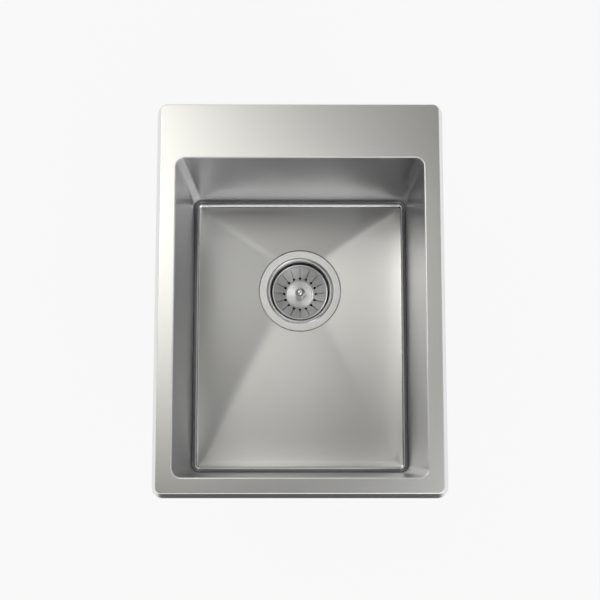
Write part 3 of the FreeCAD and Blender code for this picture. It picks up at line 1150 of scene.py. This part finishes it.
@dataclass
class Waste:
    """The dish in the floor, its seals and the moulded body under it."""

    finishes: Finishes
    axis_y: float
    cutter: RingOfTools
    joiner: RingOfTools
    thread: ScrewThread
    dish_sheet: float = 1.2
    bead_out: float = 46.9
    bead_top: float = 45.4
    bead_in: float = 43.8
    bead_rise: float = 0.45
    bead_bend: float = 0.5
    flange_dip: float = 0.2
    lip: float = 42.0
    lip_bend: float = 0.6
    gasket_width: float = 8.0
    gasket_edge: float = 0.15
    washer_width: float = 9.0
    washer_edge: float = 0.8
    throat: float = 41.5
    throat_drop: float = 7.0
    cup: float = 40.6
    dish_bend: float = 2.4
    screw_hole: float = 5.3
    hole_radius: float = 5.0
    hole_circle: float = 14.5
    hole_count: int = 6
    body_bore: float = 47.0
    body_wall: float = 3.0
    body_flange: float = 4.0
    funnel_drop: float = 24.0
    outlet_radius: float = 29.8
    outlet_wall: float = 4.4
    outlet_shoulder: float = 3.0
    thread_relief: float = 0.8
    thread_depth: float = 1.1
    thread_pitch: float = 2.3
    hub_radius: float = 10.3
    hub_height: float = 22.0
    hub_floor: float = 3.0
    hub_chamfer: float = 0.8
    insert_radius: float = 7.8
    insert_height: float = 14.0
    insert_edge: float = 0.4
    spoke_width: float = 4.0
    spoke_height: float = 12.0
    spoke_root: float = 1.0
    spoke_count: int = 3
    screw_root: float = 4.3
    screw_thread: Sequence[float] = (0.6, 1.25)
    screw_ends: Sequence[float] = (1.2, 3.0)
    socket_radius: float = 3.2
    socket_depth: float = 17.0

    def __post_init__(self) -> None:
        """Take the levels from the frame."""
        low, high = box_mm("waste_flange")
        self.flange_radius = high.x
        self.flange_top = high.z
        self.dish_under = low.z
        self.dish_floor = low.z + self.dish_sheet
        low, high = box_mm("waste_body")
        self.body_radius = high.x
        self.body_top = high.z
        self.outlet_foot = low.z
        self.axis: Flat = (0.0, self.axis_y)

    def build(self) -> None:
        """Make and dress every piece."""
        dress = self.finishes.dress
        dress(self.dish(), "waste_steel", "sink", "waste_flange")
        dress(self.gasket(), "seal_rubber", "sink", "flange_seal")
        washer = self.ring("floor_seal", "floor_washer", self.washer_width, self.washer_edge)
        dress(washer, "seal_rubber", "sink", "floor_seal")
        dress(self.body(), "waste_plastic", "sink", "waste_body")
        width = self.insert_radius - self.screw_hole
        insert = self.ring("clamp_insert", "brass_insert", width, self.insert_edge)
        dress(insert, "insert_brass", "sink", "clamp_insert")
        dress(self.screw(), "fastener_steel", "sink", "clamp_screw")

    def ring(self, node: str, name: str, width: float, edge: float) -> Thing:
        """A round ring with softened edges, in the place of a CAD node.

        Args:
            node: The node that gives its outer radius and its levels.
            name: The piece's name.
            width: From the outer radius to the bore.
            edge: Radius of the edges.

        Returns:
            The ring.
        """
        low, high = box_mm(node)
        corners = [(high.x - width, low.z), (high.x, low.z), (high.x, high.z), (high.x - width, high.z)]
        return turned(name, [Corner(*spot, edge) for spot in corners], self.axis)

    def gasket(self) -> Thing:
        """Make the thin ring under the flange, whose upper face follows the flange's dip.

        Returns:
            The piece.
        """
        low, high = box_mm("flange_seal")
        inner = high.x - self.gasket_width
        lean = self.flange_dip / (self.flange_radius - self.bead_out)
        corners = [(inner, low.z), (high.x, low.z)]
        corners += [(out, high.z - lean * (self.flange_radius - out)) for out in (high.x, inner)]
        return turned("flange_gasket", [Corner(*spot, self.gasket_edge) for spot in corners], self.axis)

    def dish(self) -> Thing:
        """Make the pressed dish: flange with a raised bead, cup and outlet holes.

        Returns:
            The piece.
        """
        low = self.flange_top - self.flange_dip
        corners = [
            Corner(self.flange_radius, self.flange_top),
            Corner(self.bead_out, low, self.bead_bend),
            Corner(self.bead_top, self.flange_top + self.bead_rise, self.bead_bend),
            Corner(self.bead_in, low, self.bead_bend),
            Corner(self.lip, low, self.lip_bend),
            Corner(self.throat, self.flange_top - self.throat_drop, self.dish_bend),
            Corner(self.cup, self.dish_floor, self.dish_bend),
            Corner(self.screw_hole, self.dish_floor),
        ]
        section = sheet_section(soften(corners, hold=0.3), self.dish_sheet)
        made = Draft().turn(section, self.axis, steps=192).piece("waste_dish")
        reach = 2 * self.dish_sheet
        hole = rod_section(self.hole_radius, self.dish_under - reach, self.dish_floor + reach)
        drill = Draft().turn(hole, (0.0, self.hole_circle), closed=False, steps=48)
        return self.cutter.carve(made, drill, self.hole_count, self.axis)

    def body(self) -> Thing:
        """Make the moulded body: cup, funnel, hub on spokes, and an outlet with a pipe thread.

        Returns:
            The piece.
        """
        outer = self.body_bore + self.body_wall
        outlet_top = self.dish_under - self.funnel_drop
        root = self.outlet_radius - self.thread_depth
        bore = self.outlet_radius - self.outlet_wall
        flange_foot = self.body_top - self.body_flange
        corners = [
            Corner(self.body_bore, self.body_top, 0.5),
            Corner(self.body_radius, self.body_top, 0.8),
            Corner(self.body_radius, flange_foot, 0.8),
            Corner(outer, flange_foot, 1.5),
            Corner(outer, self.dish_under, 5.0),
            Corner(self.outlet_radius, outlet_top + self.outlet_shoulder, 2.0),
            Corner(self.outlet_radius, outlet_top, 0.4),
            Corner(root, outlet_top - self.thread_relief, 0.3),
            Corner(root, self.outlet_foot, 0.8),
            Corner(bore, self.outlet_foot, 0.6),
            Corner(bore, outlet_top, 2.0),
            Corner(self.body_bore, self.dish_under, 4.0),
        ]
        made = turned("waste_housing", corners, self.axis, bends=5, steps=128)
        self.joiner.carve(made, Draft().turn(self.hub_section(), steps=64), 1, self.axis)
        half = self.spoke_width / 2
        near = self.hub_radius - self.spoke_root
        far = self.body_bore + self.body_wall / 3
        lean = (self.body_bore - bore) / self.funnel_drop
        foot = self.dish_under - self.spoke_height
        outer_foot = (far - lean * self.spoke_height, foot)
        spots = ((near, self.dish_under), (far, self.dish_under), outer_foot, (near, foot))
        spoke = Draft().prism([Vector((-half, *spot)) for spot in spots], Vector((self.spoke_width, 0, 0)))
        self.joiner.carve(made, spoke, self.spoke_count, self.axis)
        run = outlet_top - self.outlet_foot - 3 * self.thread_pitch / 2
        start = self.outlet_foot + self.thread_pitch * 0.75
        sizes = (root, self.thread_depth, self.thread_pitch, run)
        return self.thread.wind(made, sizes, start, self.axis_y, steps=96)

    def hub_section(self) -> list[Flat]:
        """Section of the hub, open above for the insert and the screw.

        Returns:
            Points of radius and height.
        """
        foot = self.dish_under - self.hub_height
        step = self.dish_under - self.insert_height
        return [
            (0.0, foot),
            (self.hub_radius - self.hub_chamfer, foot),
            (self.hub_radius, foot + self.hub_chamfer),
            (self.hub_radius, self.dish_under),
            (self.insert_radius, self.dish_under),
            (self.insert_radius, step),
            (self.screw_hole, step),
            (self.screw_hole, foot + self.hub_floor),
            (0.0, foot + self.hub_floor),
        ]

    def screw(self) -> Thing:
        """Make the hollow-headed clamp screw, with a machined head and a thread under the dish.

        Returns:
            The piece.
        """
        low, high = box_mm("clamp_screw")
        socket_foot = high.z - self.socket_depth
        corners = [
            Corner(0.0, low.z),
            Corner(self.screw_root, low.z, 0.8),
            Corner(self.screw_root, self.dish_floor, 0.2),
            Corner(high.x, self.dish_floor, 0.3),
            Corner(high.x, high.z, 0.9),
            Corner(self.socket_radius, high.z, 0.4),
            Corner(self.socket_radius, socket_foot, 0.5),
            Corner(0.0, socket_foot),
        ]
        made = turned("dish_screw", corners, self.axis, closed=False, steps=64)
        start, shorter = self.screw_ends
        sizes = (self.screw_root, *self.screw_thread, self.dish_floor - low.z - shorter)
        return self.thread.wind(made, sizes, low.z + start, self.axis_y, steps=32)


@dataclass
class Strainer:
    """The lift-out strainer: knob, basket, and the plug on its stem."""

    finishes: Finishes
    axis_y: float
    cutter: RingOfTools
    basket_sheet: float = 0.8
    rim_out: float = 1.7
    rim_width: float = 2.1
    rim_depth: float = 2.2
    rim_wall: float = 4.4
    rim_lean: float = 0.7
    disc_radius: float = 17.3
    disc_step: float = 1.0
    gutter_width: float = 1.6
    hole_count: int = 16
    hole_radius: float = 1.8
    hole_circle: float = 22.6
    slit_width: float = 1.0
    slit_end: float = 35.0
    cut_drop: float = 2.0
    stem_radius: float = 2.9
    stem_hole: float = 3.2
    stem_tip: Flat = (1.0, 1.8)
    knob_height: float = 18.0
    ball_out: float = 0.6
    collar_radius: float = 4.4
    collar_height: float = 2.0
    plug_lip: float = 1.0
    plug_hollow: float = 8.5
    plug_hollow_height: float = 3.5

    def __post_init__(self) -> None:
        """Set the axis."""
        self.axis: Flat = (0.0, self.axis_y)

    def build(self) -> None:
        """Make and dress every piece."""
        dress = self.finishes.dress
        dress(self.basket(), "basket_steel", "basket", "basket")
        dress(self.knob(), "knob_steel", "plug", "knob")
        dress(self.stem(), "fastener_steel", "plug", "stem")
        dress(self.plug_seal(), "seal_rubber", "plug", "plug_seal")
        dress(self.seal_plate(), "waste_steel", "plug", "seal_plate")
        dress(self.lock_nut(), "fastener_steel", "plug", "lock_nut")

    def basket(self) -> Thing:
        """Make the strainer dish with its turned-over rim, and keyhole slots through its wall.

        Returns:
            The piece.
        """
        low, high = box_mm("basket")
        rim = high.x + self.rim_out
        inner = rim - self.rim_width
        gutter = low.z + self.basket_sheet
        disc_top = gutter + self.disc_step
        corners = [
            Corner(rim, high.z - self.rim_depth),
            Corner(rim, high.z, 0.9),
            Corner(inner, high.z, 0.8),
            Corner(inner - self.rim_lean, high.z - self.rim_wall, 0.9),
            Corner(self.disc_radius + self.gutter_width, gutter, 0.9),
            Corner(self.disc_radius, gutter, 0.3),
            Corner(self.disc_radius - self.disc_step / 2, disc_top, 0.4),
            Corner(self.stem_hole, disc_top),
        ]
        section = sheet_section(soften(corners, hold=0.2, steps=6), self.basket_sheet)
        made = Draft().turn(section, self.axis, steps=192).piece("strainer_basket")
        return self.cutter.carve(made, self.keyhole(low.z, high.z), self.hole_count, self.axis)

    def keyhole(self, low: float, high: float, round_steps: int = 20, tip_steps: int = 6) -> Draft:
        """The upright keyhole prism that makes one hole with its slit.

        Args:
            low: Height of the basket's underside.
            high: Height of its rim.
            round_steps: Straight pieces in the hole.
            tip_steps: Straight pieces in the slit's round end.

        Returns:
            The prism, drawn round the origin.
        """
        half = self.slit_width / 2
        opening = math.asin(half / self.hole_radius)
        sweep = FULL_TURN - 2 * opening

        def arc(radius: float, centre: float, turns: Iterable[float]) -> list[Vector]:
            """Points of an arc round a centre on the +Y axis."""
            level = low - self.cut_drop
            return [Vector((radius * math.cos(t), centre + radius * math.sin(t), level)) for t in turns]

        turns = (FULL_TURN / 4 + opening + sweep * step / round_steps for step in range(round_steps + 1))
        outline = arc(self.hole_radius, self.hole_circle, turns)
        turns = (FULL_TURN / 2 * step / tip_steps for step in range(tip_steps + 1))
        outline += arc(half, self.slit_end - half, turns)
        return Draft().prism(outline, Vector((0, 0, high - low)))

    def knob(self, steps: int = 28) -> Thing:
        """The ball knob on its waisted post and collar.

        Args:
            steps: Straight pieces from the ball's neck to its top.

        Returns:
            The knob.
        """
        low, high = box_mm("knob")
        ball = high.x + self.ball_out
        centre = low.z + self.knob_height
        collar_top = low.z + self.collar_height
        join = math.asin(self.stem_radius / ball)
        corners = [
            Corner(0.0, low.z),
            Corner(self.collar_radius, low.z, 0.3),
            Corner(self.collar_radius, collar_top, 0.8),
            Corner(self.stem_radius, collar_top, 0.7),
            Corner(self.stem_radius, centre - ball * math.cos(join)),
        ]
        section = soften(corners, steps=5)
        for turn in (join + (math.pi - join) * step / steps for step in range(1, steps)):
            section.append((ball * math.sin(turn), centre - ball * math.cos(turn)))
        section.append((0.0, centre + ball))
        return Draft().turn(section, self.axis, closed=False, steps=96).piece("ball_knob")

    def stem(self) -> Thing:
        """Make the long pin under the knob, with a pointed tip.

        Returns:
            The piece.
        """
        low, high = box_mm("stem")
        inset, height = self.stem_tip
        corners = [
            Corner(0.0, low.z),
            Corner(self.stem_radius - inset, low.z, 0.4),
            Corner(self.stem_radius, low.z + height, 0.5),
            Corner(self.stem_radius, high.z),
            Corner(0.0, high.z),
        ]
        return turned("strainer_stem", corners, self.axis, closed=False, steps=48)

    def plug_seal(self) -> Thing:
        """Make the rubber plug over the outlet holes, hollow below for the screw's head.

        Returns:
            The piece.
        """
        low, high = box_mm("plug_seal")
        roof = low.z + self.plug_hollow_height
        corners = [
            Corner(self.stem_radius, high.z),
            Corner(self.stem_radius, roof, 0.3),
            Corner(self.plug_hollow, roof, 0.8),
            Corner(self.plug_hollow, low.z, 0.6),
            Corner(high.x, low.z, 0.4),
            Corner(high.x, low.z + self.plug_lip, 0.4),
            Corner(box_mm("seal_plate")[1].x, high.z, 0.8),
        ]
        return turned("rubber_plug", corners, self.axis, steps=112)

    def seal_plate(self) -> Thing:
        """Make the disc that backs the rubber plug.

        Returns:
            The piece.
        """
        low, high = box_mm("seal_plate")
        edge = (high.z - low.z) / 3
        corners = [
            Corner(self.stem_radius, low.z, edge / 2),
            Corner(high.x, low.z, edge),
            Corner(high.x, high.z, edge),
            Corner(self.stem_radius, high.z, edge / 2),
        ]
        return turned("plug_plate", corners, self.axis, steps=112)

    def lock_nut(self) -> Thing:
        """The hexagon nut on the stem."""
        low, high = box_mm("lock_nut")
        return hexagon("stem_nut", high.x, (low.z, high.z), self.axis, self.stem_radius)


def hexagon(name: str, radius: float, levels: Flat, axis: Flat = ORIGIN, bore: float = 0.0) -> Thing:
    """A hexagon with chamfered corners.

    Args:
        name: The object's name.
        radius: From the axis to a corner.
        levels: Heights of the lower and the upper face.
        axis: Place of the axis.
        bore: Radius of the hole through it, or zero.

    Returns:
        The hexagon.
    """
    steps = 96
    chamfer_share = 0.55
    low, high = levels
    sector = FULL_TURN / 6
    chamfer = radius * (1 - math.cos(math.pi / 6)) * chamfer_share
    face = radius - 2 * chamfer
    turns = [FULL_TURN * step / steps for step in range(steps)]
    flats = [radius * math.cos(sector / 2) / math.cos(turn % sector - sector / 2) for turn in turns]

    def ring(level: float, outs: Sequence[float]) -> list[Vector]:
        """Points at given distances from the axis."""
        places = [(out * math.cos(turn), out * math.sin(turn)) for turn, out in zip(turns, outs)]
        return [Vector((axis[0] + x, axis[1] + y, level)) for x, y in places]

    rings = []
    for level, most in ((low, face), (low + chamfer, radius), (high - chamfer, radius), (high, face)):
        rings.append(ring(level, [min(flat, most) for flat in flats]))
    if bore > 0:
        rings += [ring(level, [bore] * steps) for level in (high, low)]
    return Draft().loft(rings, closed=bore > 0).piece(name)


@dataclass
class Rails:
    """The folded channels under the deck that the clips slide in."""

    finishes: Finishes
    sheet: float = 1.0
    slot: float = 3.6
    bend: float = 1.4

    def build(self) -> None:
        """Make and dress the four rails."""
        for side in Side:
            node = f"{side.name.lower()}_rail"
            self.finishes.dress(self.rail(side, node), "rail_steel", "sink", node)

    def rail(self, side: Side, node: str) -> Thing:
        """Make one channel, open below along its middle.

        Args:
            side: The side that it runs along.
            node: The CAD node that gives its place and size.

        Returns:
            The piece.
        """
        low, high = box_mm(node)
        size = high - low
        half = min(size.x, size.y) / 2
        length = max(size.x, size.y)
        spots = [(half, low.z), (half, high.z), (-half, high.z), (-half, low.z)]
        folds = [Corner(*spot, self.bend) for spot in spots]
        path = soften([Corner(self.slot / 2, low.z), *folds, Corner(-self.slot / 2, low.z)], steps=5)
        outline = [Vector((x, -length / 2, z)) for x, z in sheet_section(path, self.sheet)]
        middle = (low + high) / 2
        place = side.matrix(Vector((middle.x, middle.y, 0)))
        name = f"{side.name.lower()}_clip_rail"
        return Draft().prism(outline, Vector((0, length, 0))).piece(name, place)


@dataclass
class Clip:
    """One mounting clip: strap, pressure foot and clamp screw, drawn round the screw's axis."""

    finishes: Finishes
    cutter: RingOfTools
    joiner: RingOfTools
    thread: ScrewThread
    name: str
    side: Side
    strap_sheet: float = 2.0
    strap_width: float = 18.0
    strap_bend: float = 2.6
    screw_reach: float = 9.0
    leg_margin: float = 6.0
    hook_length: float = 3.4
    leg_height: float = 6.0
    collar_radius: float = 5.3
    collar_chamfer: float = 0.4
    bore: float = 3.3
    screw_root: float = 2.55
    screw_point: float = 0.9
    thread_depth: float = 0.42
    thread_pitch: float = 1.0
    thread_ends: Sequence[float] = (0.8, 2.5)
    head_height: float = 4.5
    head_radius: float = 5.6
    slot_width: float = 1.4
    slot_depth: float = 2.0
    socket_depth: float = 2.0
    edge: float = 0.35
    over_cut: float = 1.0
    tool_steps: int = 40

    def __post_init__(self) -> None:
        """Find the screw's axis in the frame."""
        middle = middle_mm(f"{self.name}_foot")
        self.place = self.side.matrix(Vector((middle.x, middle.y, 0)))

    def build(self) -> None:
        """Make and dress the strap, the foot and the screw."""
        dress = self.finishes.dress
        dress(self.strap(), "clip_zinc", f"{self.name}_clip", f"{self.name}_strap")
        dress(self.foot(), "clip_zinc", f"{self.name}_clamp", f"{self.name}_foot")
        dress(self.screw(), "clip_zinc", f"{self.name}_screw", f"{self.name}_clip_screw")

    def rod(self, *sizes: float) -> Draft:
        """A round tool on the screw's axis, with the sizes of its section."""
        return Draft().turn(rod_section(*sizes), closed=False, steps=self.tool_steps)

    def strap(self) -> Thing:
        """Make the folded strap with its hook, its leg and the threaded collar.

        Returns:
            The piece.
        """
        low, high = box_mm(f"{self.name}_strap")
        leg_top = low.z + self.leg_height
        face = self.strap_sheet / 2 - self.screw_reach
        corners = [
            Corner(self.leg_margin, leg_top),
            Corner(face, leg_top, self.strap_bend),
            Corner(face, high.z, self.strap_bend),
            Corner(-self.hook_length - self.screw_reach, high.z),
        ]
        path = soften(corners, steps=6)
        closed = path + beside(path, self.strap_sheet)[::-1]
        outline = [Vector((x, -self.strap_width / 2, z)) for x, z in closed]
        made = Draft().prism(outline, Vector((0, self.strap_width, 0))).piece(f"{self.name}_clip_strap")
        mid_leg = leg_top - self.strap_sheet / 2
        self.joiner.carve(made, self.rod(self.collar_radius, low.z, mid_leg, self.collar_chamfer))
        self.cutter.carve(made, self.rod(self.bore, low.z - self.over_cut, leg_top + self.over_cut))
        bevelled(made, self.edge)
        made.data.transform(self.place)
        return made

    def foot(self) -> Thing:
        """Make the round pressure foot with a blind socket.

        Returns:
            The piece.
        """
        low, high = box_mm(f"{self.name}_foot")
        radius = (high.x - low.x) / 2
        roof = low.z + self.socket_depth
        corners = [
            Corner(0.0, high.z),
            Corner(radius, high.z, 0.8),
            Corner(radius, low.z, 0.5),
            Corner(self.bore, low.z, 0.3),
            Corner(self.bore, roof, 0.2),
            Corner(0.0, roof),
        ]
        return turned(f"{self.name}_clip_foot", corners, closed=False, steps=56, place=self.place)

    def screw(self) -> Thing:
        """Make the clamp screw: threaded shank, and a hexagon head with a driver slot.

        Returns:
            The piece.
        """
        low, high = box_mm(f"{self.name}_clip_screw")
        head_top = low.z + self.head_height
        made = hexagon(f"{self.name}_clamp_screw", self.head_radius, (low.z, head_top))
        shank = self.rod(self.screw_root, head_top - self.over_cut, high.z, 0.0, self.screw_point)
        self.joiner.carve(made, shank)
        half = self.slot_width / 2
        reach = self.head_radius + self.over_cut
        under, roof = low.z - self.over_cut, low.z + self.slot_depth
        spots = ((-half, under), (half, under), (half, roof), (-half, roof))
        slot = Draft().prism([Vector((-reach, *spot)) for spot in spots], Vector((2 * reach, 0, 0)))
        self.cutter.carve(made, slot)
        start, shorter = self.thread_ends
        sizes = (self.screw_root, self.thread_depth, self.thread_pitch, high.z - head_top - shorter)
        self.thread.wind(made, sizes, head_top + start, axis_y=0.0, steps=24)
        made.data.transform(self.place)
        return made


class Tone(Enum):
    """Colour of a lamp."""

    WHITE = (1.0, 1.0, 1.0)
    WARM = (1.0, 0.99, 0.97)


@dataclass(frozen=True)
class Softbox:
    """A soft studio lamp under the ceiling, facing down. Its sizes are in metres."""

    name: str
    place: Flat
    size: Flat
    radiance: float
    tone: Tone = Tone.WHITE
    height: float = 2.0

    def build(self) -> Thing:
        """Make the lamp, with the power that gives its face the stated radiance.

        Returns:
            The lamp.
        """
        light = bpy.data.lights.new(self.name, "AREA")
        light.shape = "RECTANGLE"
        light.size, light.size_y = self.size
        light.energy = self.radiance * math.pi * self.size[0] * self.size[1]
        light.color = self.tone.value
        made = bpy.data.objects.new(self.name, light)
        made.location = (*self.place, self.height)
        made.visible_camera = False
        bpy.context.scene.collection.objects.link(made)
        return made


@dataclass
class Studio:
    """Floor, surroundings, lamps and camera, with sizes in metres."""

    floor_level: float
    floor_reach: float = 6.0
    floor_colour: Colour = (0.9, 0.9, 0.9)
    background: float = 0.962
    shadow_share: float = 0.06
    horizon: float = 0.947
    wall: float = 1.0
    wall_fade: Flat = (0.6, 0.7)
    card_colour: Colour = (0.05, 0.05, 0.052)
    card_roughness: float = 0.9
    card_box: Sequence[float] = (-0.3, -0.95, 0.3, -0.36)
    card_lift: float = 0.002
    lens: float = 66.65
    sensor: float = 36.0
    view_end: float = 50.0
    camera_place: Sequence[float] = (0.0, -0.1747, 1.311)
    camera_target: Sequence[float] = (0.0, -0.0064, 0.022)
    lamps: Sequence[Softbox] = field(
        default_factory=lambda: (
            Softbox("left_softbox", (-1.0, 0.6), (0.8, 0.8), 3.5, Tone.WARM),
            Softbox("far_softbox", (-1.0, 1.6), (0.8, 1.2), 0.95, Tone.WARM),
            Softbox("key_softbox", (-0.4, 0.4), (0.4, 1.2), 1.3, Tone.WARM),
            Softbox("back_softbox", (0.0, 1.6), (1.2, 1.2), 0.5),
            Softbox("top_softbox", (0.0, 0.4), (0.4, 0.4), 2.1),
            Softbox("over_softbox", (0.4, -0.2), (0.4, 1.6), 0.3),
            Softbox("right_softbox", (1.0, -0.8), (0.8, 1.2), 1.95),
            Softbox("corner_softbox", (1.0, -1.8), (0.8, 0.8), 5.0),
            Softbox("front_softbox", (0.0, -1.8), (1.2, 0.8), 2.1),
            Softbox("right_strip", (1.2, 0.4), (0.4, 1.2), 1.1),
        )
    )

    def build(self) -> None:
        """Make the whole set."""
        self.floor()
        self.card()
        self.surroundings()
        for lamp in self.lamps:
            lamp.build()
        self.camera()
        bpy.context.scene.view_settings.view_transform = "Standard"

    @staticmethod
    def sheet(name: str, box: Sequence[float], level: float) -> tuple[Thing, bpy.types.Material]:
        """A flat sheet of the set.

        Args:
            name: The sheet's name.
            box: Its left, front, right and back end.
            level: Its height.

        Returns:
            The sheet and its new node material.
        """
        left, front, right, back = box
        corners = [(left, front), (right, front), (right, back), (left, back)]
        draft = Draft()
        draft.faces.append(tuple(draft.ring(Vector((x, y, level)) / MM for x, y in corners)))
        made = draft.piece(name)
        material = bpy.data.materials.new(name)
        material.use_nodes = True
        made.data.materials.append(material)
        return made, material

    def floor(self) -> None:
        """A pale floor that keeps the sink's soft shadow and is clear from below."""
        reach = self.floor_reach
        made, material = self.sheet("studio_floor", (-reach, -reach, reach, reach), self.floor_level)
        material.node_tree.nodes.clear()
        bench = NodeBench(material.node_tree)
        rays = bench.add("ShaderNodeLightPath").outputs
        seen = bench.math("MAXIMUM", rays["Is Camera Ray"], rays["Is Glossy Ray"])
        shown = bench.math("MAXIMUM", seen, rays["Is Transmission Ray"])
        share = bench.math("MULTIPLY", shown, 1 - self.shadow_share)
        matte = bench.add("ShaderNodeBsdfDiffuse", Color=(*self.floor_colour, 1.0)).outputs[0]
        pale = (*[self.background] * 3, 1.0)
        glow = bench.add("ShaderNodeEmission", Color=pale, Strength=1.0).outputs[0]
        clear = bench.add("ShaderNodeBsdfTransparent").outputs[0]
        below = bench.add("ShaderNodeNewGeometry").outputs["Backfacing"]
        face = bench.blend(share, matte, glow)
        bench.add("ShaderNodeOutputMaterial", Surface=bench.blend(below, face, clear))

    def card(self) -> None:
        """A dark card on the floor in front, which only reflections show."""
        made, material = self.sheet("studio_flag", self.card_box, self.floor_level + self.card_lift)
        shader = material.node_tree.nodes["Principled BSDF"]
        shader.inputs["Base Color"].default_value = (*self.card_colour, 1.0)
        shader.inputs["Roughness"].default_value = self.card_roughness
        made.visible_camera = False
        made.visible_diffuse = False
        made.visible_shadow = False

    def surroundings(self) -> None:
        """A pale horizon for the camera, in a room with a pale wall all round and a dark ceiling."""
        world = bpy.data.worlds.new("studio")
        bpy.context.scene.world = world
        world.use_nodes = True
        bench = NodeBench(world.node_tree)
        way = bench.add("ShaderNodeTexCoord").outputs["Generated"]
        height = bench.add("ShaderNodeSeparateXYZ", Vector=way).outputs["Z"]
        low, high = self.wall_fade
        fade = {"From_Min": low, "From_Max": high, "To_Min": self.wall, "To_Max": 0.0}
        room = bench.add("ShaderNodeMapRange", Value=height, **fade).outputs[0]
        seen = bench.add("ShaderNodeLightPath").outputs["Is Camera Ray"]
        whole = bench.add("ShaderNodeMix", Factor=seen, A=room, B=self.horizon).outputs[0]
        bench.feed(world.node_tree.nodes["Background"], "Color", whole)

    def camera(self) -> None:
        """The camera, high above the front of the sink."""
        lens = bpy.data.cameras.new("camera")
        lens.lens = self.lens
        lens.sensor_width = self.sensor
        lens.clip_end = self.view_end
        made = bpy.data.objects.new("camera", lens)
        made.location = self.camera_place
        way = Vector(self.camera_target) - Vector(self.camera_place)
        made.rotation_euler = way.to_track_quat("-Z", "Y").to_euler()
        bpy.context.scene.collection.objects.link(made)
        bpy.context.scene.camera = made


CLIPS = {
    "left_front": Side.LEFT,
    "left_back": Side.LEFT,
    "right_front": Side.RIGHT,
    "right_back": Side.RIGHT,
    "front": Side.FRONT,
    "back": Side.BACK,
}


def main() -> None:
    """Build the sink's pieces in order, then the studio."""
    logging.basicConfig(level=logging.INFO, format="%(name)s %(message)s")
    axis_y = middle_mm("waste_flange").y
    finishes = Finishes(axis_y)
    cutter = RingOfTools(Carve.CUT)
    joiner = RingOfTools(Carve.JOIN)
    thread = ScrewThread()
    Basin(finishes, axis_y).build()
    Waste(finishes, axis_y, cutter, joiner, thread).build()
    Strainer(finishes, axis_y, cutter).build()
    Rails(finishes).build()
    for name, side in CLIPS.items():
        Clip(finishes, cutter, joiner, thread, name, side).build()
    Studio(CAD_BOX[0].z).build()


if __name__ == "__main__":
    main()
